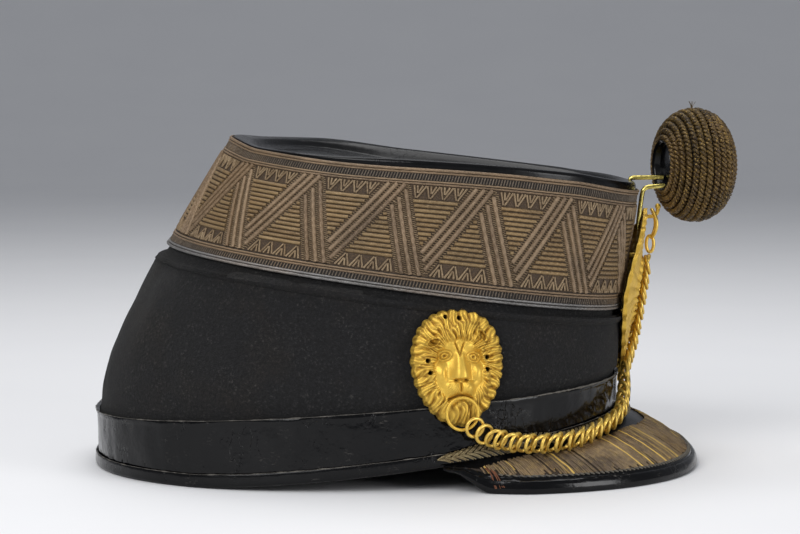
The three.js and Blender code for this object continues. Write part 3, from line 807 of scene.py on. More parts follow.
class LaceUnit:
    """One zigzag of the lace, from the foot of one rising group of ribs to the next."""

    def __init__(self, start, width):
        self.start = start
        self.width = width
        self.low, self.high = FIELD
        self.lean = (width / 2) / (self.high - self.low)
        self.margin = RIB_PITCH * 1.5 + 0.8

    def rising(self, v, offset):
        return self.start + self.lean * (v - self.low) + offset

    def falling(self, v, offset):
        return self.start + self.width - self.lean * (v - self.low) + offset

    def diagonals(self, offset):
        """The rising and the falling line at an offset, each cut where it meets the other group."""
        foot = self.low + max(0, self.margin - offset) / (2 * self.lean)
        head = self.low + (self.width + offset - self.margin) / (2 * self.lean)
        head = min(head, self.high)
        return (
            ((self.rising(foot, offset), foot), (self.rising(self.high, offset), self.high)),
            ((self.falling(head, offset), head), (self.falling(self.low, offset), self.low)),
        )

    def fill_rows(self):
        """Level rows of the two triangles between the groups, as (left, right, v)."""
        rows = []
        v = self.low + 6.6
        while self.falling(v, -self.margin) - self.rising(v, self.margin) > 1.2:
            rows.append((self.rising(v, self.margin), self.falling(v, -self.margin), v))
            v += ROW_PITCH
        v = self.high - 6.6
        while self.rising(v, self.width - self.margin) - self.falling(v, self.margin) > 1.2:
            rows.append((self.falling(v, self.margin), self.rising(v, self.width - self.margin), v))
            v -= ROW_PITCH
        return rows

    def teeth(self):
        """The pointed teeth along the two triangles' wide edges, one inside another, as strokes."""
        low, high = self.low + TOOTH_MIDDLE, self.high - TOOTH_MIDDLE
        strokes = []
        for left, right, base, tip in (
            (self.rising(low, self.margin), self.falling(low, -self.margin),
             self.low + TOOTH_BASE, self.low + TOOTH_TIP),
            (self.falling(high, self.margin), self.rising(high, self.width - self.margin),
             self.high - TOOTH_BASE, self.high - TOOTH_TIP),
        ):
            count = max(2, round((right - left) / TOOTH_PITCH))
            step = (right - left) / count
            for i in range(count):
                middle = left + (i + 0.5) * step
                for foot, gap, top in ((0.46, 0.25, tip), (0.2, 0.15, lerp(base, tip, 0.6))):
                    for way in (-1, 1):
                        start = (middle + way * step * foot, base)
                        strokes.append((start, (middle + way * gap, top)))
        return strokes


def lace_units():
    width = WAY_LENGTH / sizes().repeats
    return [LaceUnit(index * width - LACE_START, width) for index in range(sizes().repeats)]


def make_lace_ground(field_material, border_material):
    def strip(low, high, height):
        return lambda u, v: lace_point(u * WAY_LENGTH, lerp(low, high, v), height)

    whole = shell("lace_ground", 340, 16, strip(0.2, LACE_HEIGHT - 0.2, -0.62), THICK["lace"])
    finish(whole, field_material, "gold_lace", "lace_band", crease=50)
    for low, high, name in (
        (0.0, 6.7, "lace_foot_ground"), (43.2, LACE_HEIGHT, "lace_head_ground"),
    ):
        border = shell(name, 340, 2, strip(low, high, -0.5), THICK["lace_border"])
        finish(border, border_material, "gold_lace", crease=50)


def make_lace_ribs(material):
    """The zigzag's ribs, with gaps between them for the rows of holes."""
    lines = []
    for unit in lace_units():
        for offset in (-RIB_PITCH, 0, RIB_PITCH):
            for start, end in unit.diagonals(offset):
                lines.append(lace_line(start, end, 2.4, -0.4))
    piece = cords("lace_ribs", lines, sizes().rib / 2, 2)
    return finish(piece, material, "gold_lace")


def make_lace_rows(material):
    lines = []
    for unit in lace_units():
        for left, right, v in unit.fill_rows():
            lines.append(lace_line((left, v), (right, v), 2.6, -0.5))
    return finish(cords("lace_rows", lines, THREAD["row"]), material, "gold_lace")


def make_lace_teeth(material):
    lines = []
    for unit in lace_units():
        for start, end in unit.teeth():
            first, *rest = lace_line(start, end, 2.3, -0.36)
            lines.append([(first, 1.0), *[(point, 0.8) for point in rest]])
    return finish(cords("lace_teeth", lines, THREAD["tooth"]), material, "gold_lace")


def make_lace_holes(material):
    """Cross threads between and beside the ribs, which leave rows of small dark holes."""
    rungs = []
    for unit in lace_units():
        for offset in (-1.5, -0.5, 0.5, 1.5):
            for start, end in unit.diagonals(offset * RIB_PITCH):
                rungs += ladder(start, end, 0.75, -0.42)
    return finish(cords("lace_holes", rungs, THREAD["rung"], 0), material, "gold_lace")


# Place up the lace, radius and height off it, for the cords that run all round.
SILVER_CORDS = ((0.55, 0.55, -0.2), (1.75, 0.42, -0.25))
GOLD_CORDS = ((4.95, 0.4, -0.3), (6.0, 0.4, -0.3), (43.6, 0.4, -0.3), (44.6, 0.36, -0.3),
              (48.2, 0.42, -0.3), (49.35, 0.55, -0.2))
STRIPS = ((2.3, 4.5), (45.1, 47.6))
STRIP_PITCH = 1.17


def round_cords(name, places, material):
    steps = 260
    loops = []
    for v, radius, height in places:
        loop = ["closed"]
        for i in range(steps):
            loop.append(lace_point(WAY_LENGTH * i / steps, v, height + 0.06 * (i % 2)))
        loops.append(cords("round_cord", [loop], radius, 2))
    return finish(joined(name, loops), material, "gold_lace")


def make_lace_strips(material):
    bars = []
    count = round(WAY_LENGTH / STRIP_PITCH)
    for low, high in STRIPS:
        for i in range(count):
            s = WAY_LENGTH * i / count
            bars.append([lace_point(s, low, -0.45), lace_point(s, high, -0.45)])
    return finish(cords("lace_strips", bars, THREAD["bar"], 0), material, "gold_lace")


class SHAKO_OT_lace(bpy.types.Operator):
    """Gold lace: ground, zigzag ribs, rows, teeth, hole threads and corded borders"""

    bl_idname = "shako.lace"
    bl_label = "Lace"

    def execute(self, context):
        make_lace_ground(
            dark_ground("brown silk ground", "#463523", "#55422C"),
            dark_ground("black silk ground", "#0E0B09", "#15110E"),
        )
        rib = metal_thread("tarnished gold lace, ribs", "#4F3F2F", "#6F5B46", "#957F64", 0.3)
        row = metal_thread("tarnished gold lace, rows", "#5A4830", "#78603F", "#98805A", 0.3)
        pale = metal_thread("tarnished gold lace, teeth", "#5C4A36", "#78644C", "#9C886A", 0.3)
        silver = metal_thread("tarnished silver cord", "#45423F", "#63605E", "#9A9896", 0.5)
        strip = metal_thread("dulled gilt bars", "#3C332A", "#51463A", "#75695B", 0.35)
        make_lace_ribs(rib)
        make_lace_rows(row)
        make_lace_teeth(pale)
        make_lace_holes(pale)
        round_cords("lace_silver_cords", SILVER_CORDS, silver)
        round_cords("lace_gold_cords", GOLD_CORDS, rib)
        make_lace_strips(strip)
        return {"FINISHED"}


# ---------- peak ----------


def make_peak_board(leather):
    def place(u, v):
        line = PeakLine(lerp(-0.995, 0.995, u))
        return line.at(v * (line.width - 1.2))

    piece = shell("peak_leather", 150, 14, place, THICK["peak"])
    return finish(piece, leather, "patent_leather", "peak", crease=50)


def binding_start(width):
    return width - min(EDGE_LAP, width * 0.75)


EDGE_PROFILE = (  # share of the binding's width, height: over the edge and under it
    (0.0, 0.7), (0.1, 1.15), (0.4, 1.3), (0.5, 0.7), (0.58, 1.1), (0.8, 1.35), (0.95, 0.7),
    (1.05, -0.6), (1.0, -2.3), (0.86, -3.2), (0.5, -3.3), (0.0, -3.2),
)


def make_peak_edge(leather):
    def place(u, v):
        side = lerp(-1, 1, u)
        line = PeakLine(side)
        share, height = on_profile(EDGE_PROFILE, v)
        distance = lerp(binding_start(line.width), line.width, share)
        point = line.at(distance, height)
        height *= lerp(1, 0.2, smooth(abs(side), 0.93, 1))
        point.z = line.at(distance, height).z
        crust = 0.5 * smooth(abs(side), 0.8, 0.9)
        point.z = max(0, point.z + (0.12 + crust) * noise.noise(point / 2.2) * (height > 0))
        return point

    piece = shell("peak_edge", 260, 36, place, THICK["peak_edge"])
    return finish(piece, leather, "patent_leather", "peak_binding", crease=50)


def make_peak_stitches(material):
    stitches = []
    random.seed(11)
    count = 118
    for i in range(count):
        u = lerp(-0.9, 0.9, (i + 0.5) / count)
        line, ahead = PeakLine(u), PeakLine(u + 0.7 / count)
        inner = binding_start(line.width)
        stitches.append([
            line.at(inner + 0.5, 1.15),
            line.at(inner + 0.9, 1.45),
            ahead.at(inner + 1.5, 1.3),
        ])
    piece = cords("peak_stitches", stitches, THREAD["stitch"])
    return finish(piece, material, "patent_leather")


def embroidery_start(u):
    return lerp(10.5, 6, min(1, abs(u) / 0.3)) - 1.9 * smooth(abs(u), 0.5, 0.8)


def make_peak_ground():
    """The padding that the gold wires lie on."""
    def place(u, v):
        side = lerp(-0.96, 0.96, u)
        line = PeakLine(side)
        start = min(embroidery_start(side), line.width * 0.4)
        return line.at(lerp(start, binding_start(line.width), v), 0.35)

    return shell("peak_ground", 160, 16, place, THICK["peak_ground"])


def wire_stations():
    """The lines across the peak that the gold wires follow, evenly spaced half way out."""
    pitch = sizes().wire_pitch
    stations, gone, last = [], 0.0, None
    for i in range(2001):
        u = lerp(-0.95, 0.95, i / 2000)
        line = PeakLine(u)
        place = line.at(line.width * 0.55)
        if last is not None:
            gone += (place - last).length
        last = place
        if gone >= pitch or not stations:
            gone = 0.0
            stations.append(u)
    return stations


def make_peak_wires(ground_material, wire_material):
    """Gold wires laid side by side from the hat to the edge, some slack, some broken."""
    ground = make_peak_ground()
    random.seed(5)
    lines = []
    for u in wire_stations():
        worn = noise.noise(Vector((u * 9, 3, 1)))
        if random.random() < 0.05 + 0.25 * smooth(worn, 0.1, 0.4):
            continue
        line = PeakLine(u + random.uniform(-0.001, 0.001))
        start = min(embroidery_start(u), line.width * 0.4) + random.choice((0, 0, 0, 0.6, 1.2))
        end = binding_start(line.width) + 0.3 - random.choice((0, 0, 0, 1, 3)) * random.random()
        if end - start < 1.5:
            continue
        count = max(2, round((end - start) / 3.4))
        side = Vector((-line.way.y, line.way.x, 0))
        slack = random.uniform(0, 0.3)
        wire = []
        for k in range(count + 1):
            place = line.at(lerp(start, end, k / count), 0.6 + slack * (k % 2))
            wire.append(place + side * random.uniform(-0.16, 0.16))
        lines.append(wire)
    wires = cords("peak_wires", lines, THREAD["wire"])
    finish(wires, wire_material, "gold_lace", "peak_embroidery")
    finish(ground, ground_material, "gold_lace", crease=50)


def braid_place(angle, across):
    """Over the corner of peak and rim: across 0 on the band, 1 on the peak. Narrow at the ends."""
    full = smooth(math.sin(angle), math.sin(math.radians(13)), math.sin(math.radians(28)))
    front = smooth(math.sin(angle), math.sin(math.radians(34)), math.sin(math.radians(48)))
    height = lerp(4.6, 7.2, full) - 2.9 * front
    out = lerp(0.9, lerp(2.6, 5.6, full), across)
    return hat_point(RIM, angle, out, lerp(height, 1.9, across))


BRAID = {"start": 14.5, "sweep": 74, "count": 50, "pair": 0.34, "slant": 1.7, "swell": 0.7}


def braid_cord(side, row, turn):
    """Half a chevron, from the braid's middle line to its edge, rounded over its neighbours."""
    points = []
    for k in range(6):
        t = k / 5
        degrees = BRAID["start"] + BRAID["sweep"] / BRAID["count"] * (turn + BRAID["slant"] * t)
        angle = math.radians(180 - degrees if side else degrees)
        place = braid_place(angle, lerp(0.5, row, t))
        away = away_from(place) + Vector((0, 0, 0.6))
        swell = math.sin(math.pi * min(0.12 + t, 1))
        points.append((place + away * BRAID["swell"] * swell, 0.6 + 0.4 * swell))
    return points


def make_peak_braid(material):
    """A flat braid of paired cords, whose chevrons point to the peak's ends."""
    strands = [
        braid_cord(side, row, i + pair)
        for side in (0, 1) for i in range(BRAID["count"]) for pair in (0, BRAID["pair"])
        for row in (0, 1)
    ]
    piece = cords("peak_braid_cord", strands, THREAD["braid"])
    return finish(piece, material, "gold_lace", "peak_braid")


def make_peak_fray(material):
    """Loose ends of the stitching where the binding has split near its right end."""
    random.seed(4)
    lines = []
    for _ in range(8):
        u = random.uniform(-0.915, -0.9)
        line = PeakLine(u)
        start = binding_start(line.width) + random.uniform(-1.5, 0.5)
        sway = random.uniform(-1.2, 1.2)
        points = []
        for k in range(5):
            t = k / 4
            place = line.at(lerp(start, line.width + 0.4, t), 1.6 - 3.2 * max(0, t - 0.5))
            place += Vector((sway * t * t, 0, 0.4 * math.sin(6 * t + sway)))
            points.append((place, 1 - 0.5 * t))
        lines.append(points)
    return finish(cords("peak_fray", lines, THREAD["fray"]), material, "patent_leather")


class SHAKO_OT_peak(bpy.types.Operator):
    """Peak: board, edge binding and stitches, gold wires and braid"""

    bl_idname = "shako.peak"
    bl_label = "Peak"

    def execute(self, context):
        board = patent_leather("patent leather, peak", colours(), 0.2, 0.8, 0.3)
        edge = patent_leather("patent leather, peak edge", colours(), 0.6, 1.0, 0.16)
        make_peak_board(board)
        make_peak_edge(edge)
        make_peak_stitches(linen_thread("waxed thread", "#6E685C"))
        wires = metal_thread("tarnished gold wire", "#544638", "#7C6A52", "#CDAC56", 0.4, 2.2,
                             (0.87, 0.97, 0.92), (0.45, 0.75, 0.2))
        make_peak_wires(dark_ground("brown padding", "#2A1E12", "#3A2A18"), wires)
        make_peak_fray(linen_thread("rusty thread", "#8A4E28"))
        braid = metal_thread("dull gold braid", "#2A2419", "#544A34", "#9A8C66", 0.4)
        make_peak_braid(braid)
        return {"FINISHED"}


# ---------- bosses ----------

BOSS = {"x": 38, "z": 48.5, "turn": 13.3, "lean": 9, "stand_off": 0.6}
BOSS_RING = {"radius": 6.0, "wire": 0.6, "drop": 19.5, "out": 6.2, "tilt": 8}


def side_width(x, z):
    """How far the hat's side stands from its middle plane at a place."""
    best = (1e9, 0)
    for step in range(121):
        for degrees in range(80):
            point = hat_point(step * 0.05, math.radians(degrees))
            best = min(best, (math.hypot(point.x - x, point.z - z), -point.y))
    return best[1]


def boss_matrix(side):
    """From the boss's own frame (across, up, out) to the hat's. Side is -1 right, 1 left."""
    turn, lean = math.radians(BOSS["turn"]), math.radians(BOSS["lean"])
    across = Vector((math.cos(turn), -side * math.sin(turn), 0))
    outward = Vector((
        math.sin(turn) * math.cos(lean),
        side * math.cos(turn) * math.cos(lean),
        math.sin(lean),
    ))
    upward = outward.cross(across)
    if side > 0:
        upward = -upward
    matrix = Matrix((across, upward, outward)).transposed().to_4x4()
    width = side_width(BOSS["x"], BOSS["z"]) + BOSS["stand_off"]
    matrix.translation = (BOSS["x"], side * width, BOSS["z"])
    return matrix


LOCKS = 14.5  # pairs of lobes round the mane


def mound(p, q, middle_p, middle_q, reach_p, reach_q):
    """A soft round rise, 1 at its middle."""
    return math.exp(-(((p - middle_p) / reach_p) ** 2) - ((q - middle_q) / reach_q) ** 2)


def boss_outline(theta):
    """The mane's reach: an egg with its point down, scalloped by the ends of its locks."""
    power, tall = (2.25, 20.0) if math.sin(theta) > 0 else (1.8, 24.4)
    base = (abs(math.cos(theta)) / 17.9) ** power + (abs(math.sin(theta)) / tall) ** power
    lobe = abs(math.sin(LOCKS * theta + 0.4 + 0.7 * math.sin(3 * theta)))
    return base ** (-1 / power) * (0.965 + 0.04 * lobe)


def mane_relief(p, q, share, theta):
    """The mane: tiers of waved locks, each grooved into strands. Its height and its grooves."""
    radius = math.hypot(p, q)
    wave = 1.1 * math.sin(radius * 0.5 + 2.2 * math.cos(2 * theta))
    phase = LOCKS * theta + 0.4 + 0.7 * math.sin(3 * theta) + wave * (1 - share)
    lobe = abs(math.sin(phase))
    step = (share * 2.5 + 0.34 * lobe + 0.3 * math.sin(3 * theta + 1)) % 1
    height = 1.2 + 4.6 * (1 - share ** 2.6) + 0.45 * lobe
    height += 0.6 * smooth(step, 0, 0.4) * (1 - smooth(step, 0.78, 1))
    bend = 3.2 * math.sin(radius * 0.6 + 0.6 * phase) + 1.3 * math.sin(5 * theta)
    fine = 0.5 + 0.5 * math.sin(66 * theta + bend)
    forelock, beard = mound(p, q, 0, 11.5, 9, 3.6), mound(p, q, 0, -17.6, 3.2, 4.2)
    height += 0.55 * fine + forelock + 1.5 * beard
    tier_end = smooth(abs(step - 0.93), 0.14, 0.0)
    return height, 0.5 * (1 - lobe) ** 2 + 0.6 * (1 - fine) ** 1.5 + 0.3 * tier_end


def turned(a, b, degrees):
    """A place in axes turned by so many degrees."""
    cosine, sine = math.cos(math.radians(degrees)), math.sin(math.radians(degrees))
    return a * cosine + b * sine, b * cosine - a * sine


def ear_relief(p, q):
    """A leaf-shaped ear: its rim and its hollow, as a height."""
    middle, turn = ((-10.2, 7.2), 28) if p < 0 else ((8.6, 9.6), -52)
    along_ear, across_ear = turned(p - middle[0], q - middle[1], turn)
    reach = math.hypot(along_ear / 2.5, across_ear / 1.35)
    return 1.25 * bell(reach - 1, 0.3) - 1.1 * (1 - smooth(reach, 0.5, 0.95))


def eye_relief(p, q):
    """Ringed eyes under heavy lids: their height and their grooves."""
    middle = (-5.6, 2.3) if p < 0 else (5.6, 1.6)
    a, b = abs(p) - abs(middle[0]), q - middle[1]
    along_eye, across_eye = turned(a, b, -12)
    reach = math.hypot(along_eye / 1.35, across_eye)
    fade = 1 - smooth(reach, 1.9, 2.7)
    ring = math.cos(2 * math.pi * (reach - 0.75) / 0.95) * smooth(reach, 0.1, 0.5)
    pupil = bell(math.hypot(a, b), 0.42)
    height = (0.24 * ring + 0.5 * bell(reach, 1.2)) * fade - 0.5 * pupil
    return height, fade * 0.3 * (1 - ring) + 0.8 * pupil


FACE_RISES = (  # rise, middle across and up, reach across and up
    (1.2, 4.0, 6.2, 3.6, 1.9),  # brows
    (-1.5, 5.6, 1.4, 3.0, 2.4),  # eye sockets
    (1.3, 7.4, -4.6, 2.4, 3.4),  # cheeks
    (-1.0, 4.7, -4.2, 1.2, 3.4),  # creases beside the nose
)


def face_relief(p, q):
    """The smooth face, with brows, nose, muzzle, mouth and chin: its height and its grooves."""
    side = abs(p)
    height = 5.9 - 0.026 * p * p - 0.010 * (q + 2) ** 2
    height += sum(rise * mound(side, q, *place) for rise, *place in FACE_RISES)
    width = lerp(1.7, 2.9, smooth(-q, -2, 6))
    nose = lerp(0.9, 3.2, smooth(-q, -4, 6)) / (1 + (side / width) ** 4)
    height += nose * (1 - smooth(-q, 6.0, 7.4)) * (1 - smooth(q, 2.5, 5.5))
    height += 2.8 * mound(side, q, 2.8, -10.0, 2.6, 3.0) * (1 - smooth(q, -7.8, -6.2))
    height += 1.6 * mound(p, q, 0, -15.6, 2.7, 1.7)
    furrow = bell(side - 0.36 * max(q - 2.4, 0), 0.36)
    furrow *= smooth(q, 1.5, 2.6) * (1 - smooth(q, 6.6, 7.6))
    cleft = bell(side, 0.32) * smooth(-q, 7.4, 8.2) * (1 - smooth(-q, 10.6, 12))
    mouth = bell(q + 12.7 + 0.065 * side * side, 0.5) * (1 - smooth(side, 4.6, 5.3))
    nostril = mound(side, q, 1.9, -6.9, 0.75, 0.4)
    under = bell(q + 7.1, 0.35) * (1 - smooth(side, 2.4, 3.0))
    dots = 0.0
    if -11.8 < q < -8.2 and 1.0 < side < 5.2:
        dots = max(0.0, math.sin(p * 6.6 + q * 2.6) * math.sin(q * 6.8)) * (1 if p < 0 else 0.5)
    height -= 0.8 * furrow + 0.6 * cleft + 1.5 * mouth + 1.0 * nostril + 0.2 * under + 0.35 * dots
    eye, lids = eye_relief(p, q)
    grooves = 0.7 * furrow + 0.6 * cleft + 0.9 * mouth + nostril + 0.15 * under + 0.6 * dots + lids
    return height + eye, min(1.0, grooves)


# Pierced holes in the head: their pits are painted near-black as painted shade.
LION_HOLES = ((-4.5, 16.9), (0.7, 16.3), (-12.1, 0.7), (-11.3, -3.9), (10.6, 1.4), (10.7, -3.1))


def lion_relief(p, q):
    """The lion's head as a height off its back at a place, with how dark its hollows are: brown
    dirt in the grooves, and painted shade in the pierced holes.
    """
    theta = math.atan2(q, p)
    share = min(1.0, math.hypot(p, q) / boss_outline(theta))
    mane, hair = mane_relief(p, q, share, theta)
    face, lines = face_relief(p, q)
    edge = math.hypot(p / 10.2, (q + 3.6) / 12.6) + 0.035 * math.sin(11 * theta)
    blend = 1 - smooth(edge, 0.84, 1.04)
    height = lerp(mane, face, blend) + ear_relief(p, q) * (1 - blend)
    grime_and_hole_shade = lerp(hair, lines, blend)
    height *= 1 - 0.55 * smooth(share, 0.95, 1)
    # Each pierced hole sinks to a pit and is marked past 1, so its colour is painted near-black as
    # painted shade.
    for hole_p, hole_q in LION_HOLES:
        hole = 1 - smooth(math.hypot(p - hole_p, q - hole_q), 0.5, 0.95)
        height = lerp(height, 0.3, hole)
        grime_and_hole_shade = max(grime_and_hole_shade, 2.4 * hole)
    return height, grime_and_hole_shade


HEAD_FRONT, HEAD_WALL = 0.92, 0.95  # the shares where the front and the side wall end


def lion_place(u, v):
    """Front, side wall and flat back of the head, in its own frame."""
    theta = 2 * math.pi * u
    share = v / HEAD_FRONT if v <= HEAD_FRONT else 1 - max(0, v - HEAD_WALL) / (1 - HEAD_WALL)
    reach = boss_outline(theta) * share
    p, q = reach * math.cos(theta), reach * math.sin(theta)
    return Vector((p, q, lion_relief(p, q)[0] if v <= HEAD_FRONT else 0.0))


def lion_head():
    """The head in its own frame, in millimetres."""
    head = surface("lion_head", 380, 150, lion_place)
    head.data.transform(Matrix.Diagonal((1000, 1000, 1000, 1)) @ Matrix.Translation((-SHIFT, 0, 0)))
    return head


def make_boss(name, side, head, material, node):
    source = head.copy()
    source.data = head.data.copy()
    bpy.context.scene.collection.objects.link(source)
    # Dirt in the grooves, and painted shade in the pierced holes, as a point attribute.
    grime_and_hole_shade = []
    for vertex in head.data.vertices:
        p, q, height = vertex.co
        grime_and_hole_shade.append(lion_relief(p, q)[1] if height > 0.1 else 0.0)
    piece = copies(name, source, [boss_matrix(side)])
    piece.data.attributes.new("grime_and_hole_shade", "FLOAT", "POINT").data.foreach_set("value", grime_and_hole_shade)
    return finish(piece, material, "gilt_brass", node)


def make_boss_ring(name, side, material, node):
    ring = torus(BOSS_RING["radius"], BOSS_RING["wire"], 72, 14)
    local = Matrix.Translation((0, -BOSS_RING["drop"], BOSS_RING["out"]))
    local = local @ Matrix.Rotation(math.radians(BOSS_RING["tilt"]), 4, "X")
    piece = copies(name, ring, [boss_matrix(side) @ local])
    return finish(piece, material, "gilt_brass", node)


class SHAKO_OT_bosses(bpy.types.Operator):
    """Lion-head bosses and the rings in their mouths"""

    bl_idname = "shako.bosses"
    bl_label = "Lion bosses"

    def execute(self, context):
        gilt = matt_gilt("matt fire gilding", colours().gilt, "#B98F32", 0.46)
        head = lion_head()
        for name, side in (("right", -1), ("left", 1)):
            make_boss(f"lion_{name}", side, head, gilt, f"boss_{name}")
            make_boss_ring(f"lion_ring_{name}", side, gilt, f"boss_ring_{name}")
        bpy.data.objects.remove(head)
        return {"FINISHED"}


# ---------- chain and plate ----------

CHAIN_SWAG = (  # degrees round the rim, out, up
    (20.4, 8.2, 25.6), (24, 8, 21.2), (30, 8.5, 18.5), (37, 9.5, 17.5), (46, 9.3, 18.1),
    (56, 7.8, 20.6), (66, 6.4, 23.6), (75, 4.2, 29.4), (82, 3.6, 37),
)
CHAIN_RISE = ((111.4, -5.2, 47), (113.6, -4.8, 58), (115.4, -4.6, 69), (116.9, -4.4, 80))
LINK_WIRE = 0.68
LINK_STEPS = (0.76, 1.24)  # links hang in pairs: shares of the pitch, and each one's lean
LINK_LEANS = (14, 36)
LINK_ROLLS = (-30, -14)


def chain_route(side):
    """The chain's line, evenly stepped, from the boss's ring to the plate's hook."""
    knots = []
    for degrees, out, z in CHAIN_SWAG:
        point = hat_point(RIM, math.radians(degrees), out)
        knots.append(Vector((point.x, point.y, z)))
    knots += [Vector(knot) for knot in CHAIN_RISE]
    fine = []
    for i in range(len(knots) - 1):
        before, start = knots[max(i - 1, 0)], knots[i]
        end, after = knots[i + 1], knots[min(i + 2, len(knots) - 1)]
        for k in range(20):
            fine.append(curve_between(before, start, end, after, k / 20))
    fine.append(knots[-1])
    if side > 0:
        fine = [Vector((point.x, -point.y, point.z)) for point in fine]
    return fine


def along(line, distance):
    """The place and direction at a distance along a stepped line."""
    for first, second in zip(line, line[1:]):
        step = (second - first).length
        if distance <= step:
            return first.lerp(second, distance / step), (second - first).normalized()
        distance -= step
    return line[-1].copy(), (line[-1] - line[-2]).normalized()


def link_matrix(place, way, away, lean, roll):
    across = away.cross(way).normalized()
    outward = way.cross(across)
    basis = Matrix((way, across, outward)).transposed().to_4x4()
    basis.translation = place
    for degrees, axis in ((roll, "X"), (lean, "Y")):
        basis = basis @ Matrix.Rotation(math.radians(degrees), 4, axis)
    return basis


def make_chain(name, side, material, nodes):
    link = torus(sizes().link / 2 - LINK_WIRE, LINK_WIRE, 28, 8)
    line = chain_route(side)
    total = sum((second - first).length for first, second in zip(line, line[1:]))
    matrices = []
    distance = 1.0
    while distance < total:
        place, way = along(line, distance)
        away = away_from(place, 20)
        ease = smooth(distance, 2, 12)
        which = len(matrices) % 2
        risen = smooth(place.z, 30, 44)
        lean = lerp(12, lerp(LINK_LEANS[which], 20, risen), ease)
        roll = LINK_ROLLS[which] * (1 - risen) * ease
        matrices.append(link_matrix(place, way, away, side * -lean, side * roll))
        distance += lerp(4.6, sizes().link_pitch * LINK_STEPS[which], ease)
    piece = copies(name, link, matrices)
    return finish(piece, material, "gilt_brass", *nodes)


PLATE = {
    "z": 68.5, "up": 33, "down": 34, "half_width": 29.5, "stand_off": 3.6, "thick": 1.1,
    "bend": 85, "rays": 24, "ray_depth": 1.0, "wreath": 12.5,
}


PLATE_POWER = 1.5  # of the outline: 2 is an ellipse and 1 a lozenge
PLATE_FRONT = 0.93  # the share where the front ends and the edge begins
HOOK = ((0, 0), (4.3, 0.2), (5.7, 1.2), (6.2, 2.6), (6.2, 4.2))  # out and up from its root


def plate_surface(y, z, height):
    low, high = level_point(LACE_FOOT, math.pi / 2, 0), level_point(CROWN_EDGE, math.pi / 2, 0)
    lean = (z - low.z) / (high.z - low.z) * (high.x - low.x)
    bend = PLATE["bend"] - math.sqrt(PLATE["bend"] ** 2 - y * y)
    return Vector((low.x + lean + PLATE["stand_off"] - bend + height, y, z))


def plate_height(y, z, rim):
    theta = math.atan2(z, y)
    radius = math.hypot(y, z)
    rays = 0.6 * abs(math.cos(PLATE["rays"] / 2 * theta)) * smooth(rim, 0.42, 0.5)
    feather = 0.18 * math.sin(radius * 2.4 + abs(math.cos(PLATE["rays"] / 2 * theta)) * 3)
    feather *= smooth(rim, 0.5, 0.6)
    twist = 1 + 0.3 * math.sin(theta * 26 + (radius - PLATE["wreath"]) * 1.6)
    wreath = 1.5 * twist * bell(radius - PLATE["wreath"], 1.9)
    boss = 1.4 * smooth(PLATE["wreath"] - 3 - radius, 0, 3)
    return PLATE["thick"] + 0.6 * (1 - rim) + rays + feather + wreath + boss


def make_plate(material):
    def place(u, v):
        theta = 2 * math.pi * u
        tall = PLATE["up"] if math.sin(theta) > 0 else PLATE["down"]
        across, up = abs(math.cos(theta)) / PLATE["half_width"], abs(math.sin(theta)) / tall
        reach = (across ** PLATE_POWER + up ** PLATE_POWER) ** (-1 / PLATE_POWER)
        reach -= PLATE["ray_depth"] * (0.5 - 0.5 * math.cos(PLATE["rays"] * theta))
        share = min(v / PLATE_FRONT, 1)
        y, z = reach * share * math.cos(theta), reach * share * math.sin(theta)
        height = plate_height(y, z, share)
        if v > PLATE_FRONT:
            height = lerp(height, 0, (v - PLATE_FRONT) / (1 - PLATE_FRONT))
        return plate_surface(y, PLATE["z"] + z, height)

    piece = shell("plate_gilt", 384, 72, place, THICK["plate"])
    root = plate_surface(0, 98, 0.2)
    places = [root + Vector((out, 0, up)) for out, up in HOOK]
    hook = cords("plate_hook", [places], THREAD["hook"], 4)
    knob = ball(places[-1], 1.2)
    tips = [plate_surface(0, z, 0.4) for z in (59, 82)]
    bars = [[tip, tip - Vector((3.2, 0, 0))] for tip in tips]
    posts = cords("plate_posts", bars, THREAD["post"], 4)
    whole = joined("plate_gilt", [piece, hook, knob, posts])
    return finish(whole, material, "gilt_brass", "front_plate", crease=40)


HOOK_LINKS = (  # name, x, z, half width, half height, bow, turned edge on
    ("chain_hook_link", 118.8, 95.2, 3.0, 5.7, 1.8, False),
    ("chain_join_link", 118.2, 87.0, 1.5, 3.3, 0.0, True),
)


def make_hook_links(material):
    for name, x, z, across, up, bow, edge_on in HOOK_LINKS:
        line = ["closed"]
        for i in range(40):
            t = 2 * math.pi * i / 40
            flat, rise, out = across * math.cos(t), up * math.sin(t), bow * math.cos(t) ** 2
            place = (x + flat, -out, z + rise) if edge_on else (x + out, flat, z + rise)
            line.append(Vector(place))
        piece = cords(f"{name}_gilt", [line], THREAD["hook_link"], 3)
        finish(piece, material, "gilt_brass", name)


def make_tongue(leather):
    def place(u, v):
        return Vector((110.2 + 0.3 * math.sin(3 * v), lerp(-3.5, 3.5, u), lerp(23.2, 34, v)))

    piece = shell("tongue_leather", 10, 16, place, THICK["tongue"])
    return finish(piece, leather, "patent_leather", "chain_tongue", crease=40)


class SHAKO_OT_fittings(bpy.types.Operator):
    """Chin chain, its hook links, the front plate and the leather tongue"""

    bl_idname = "shako.fittings"
    bl_label = "Chain and plate"

    def execute(self, context):
        gilt = bpy.data.materials["matt fire gilding"]
        chain = matt_gilt("gilt chain", linear("#DDBB5C"), "#B8933C", 0.34)
        for name, side in (("right", -1), ("left", 1)):
            nodes = [f"chain_{span}_{name}" for span in ("swag", "front", "rise")]
            make_chain(f"chain_gilt_{name}", side, chain, nodes)
        make_plate(gilt)
        make_hook_links(chain)
        make_tongue(bpy.data.materials["patent leather, peak"])
        return {"FINISHED"}


# ---------- pompom ----------

POMPOM = {"x": 135.5, "z": 119, "radius": 23, "half": 14.6, "turn": 15, "socket": 8.5, "depth": 5.5}
CORD_PITCH = 2.85


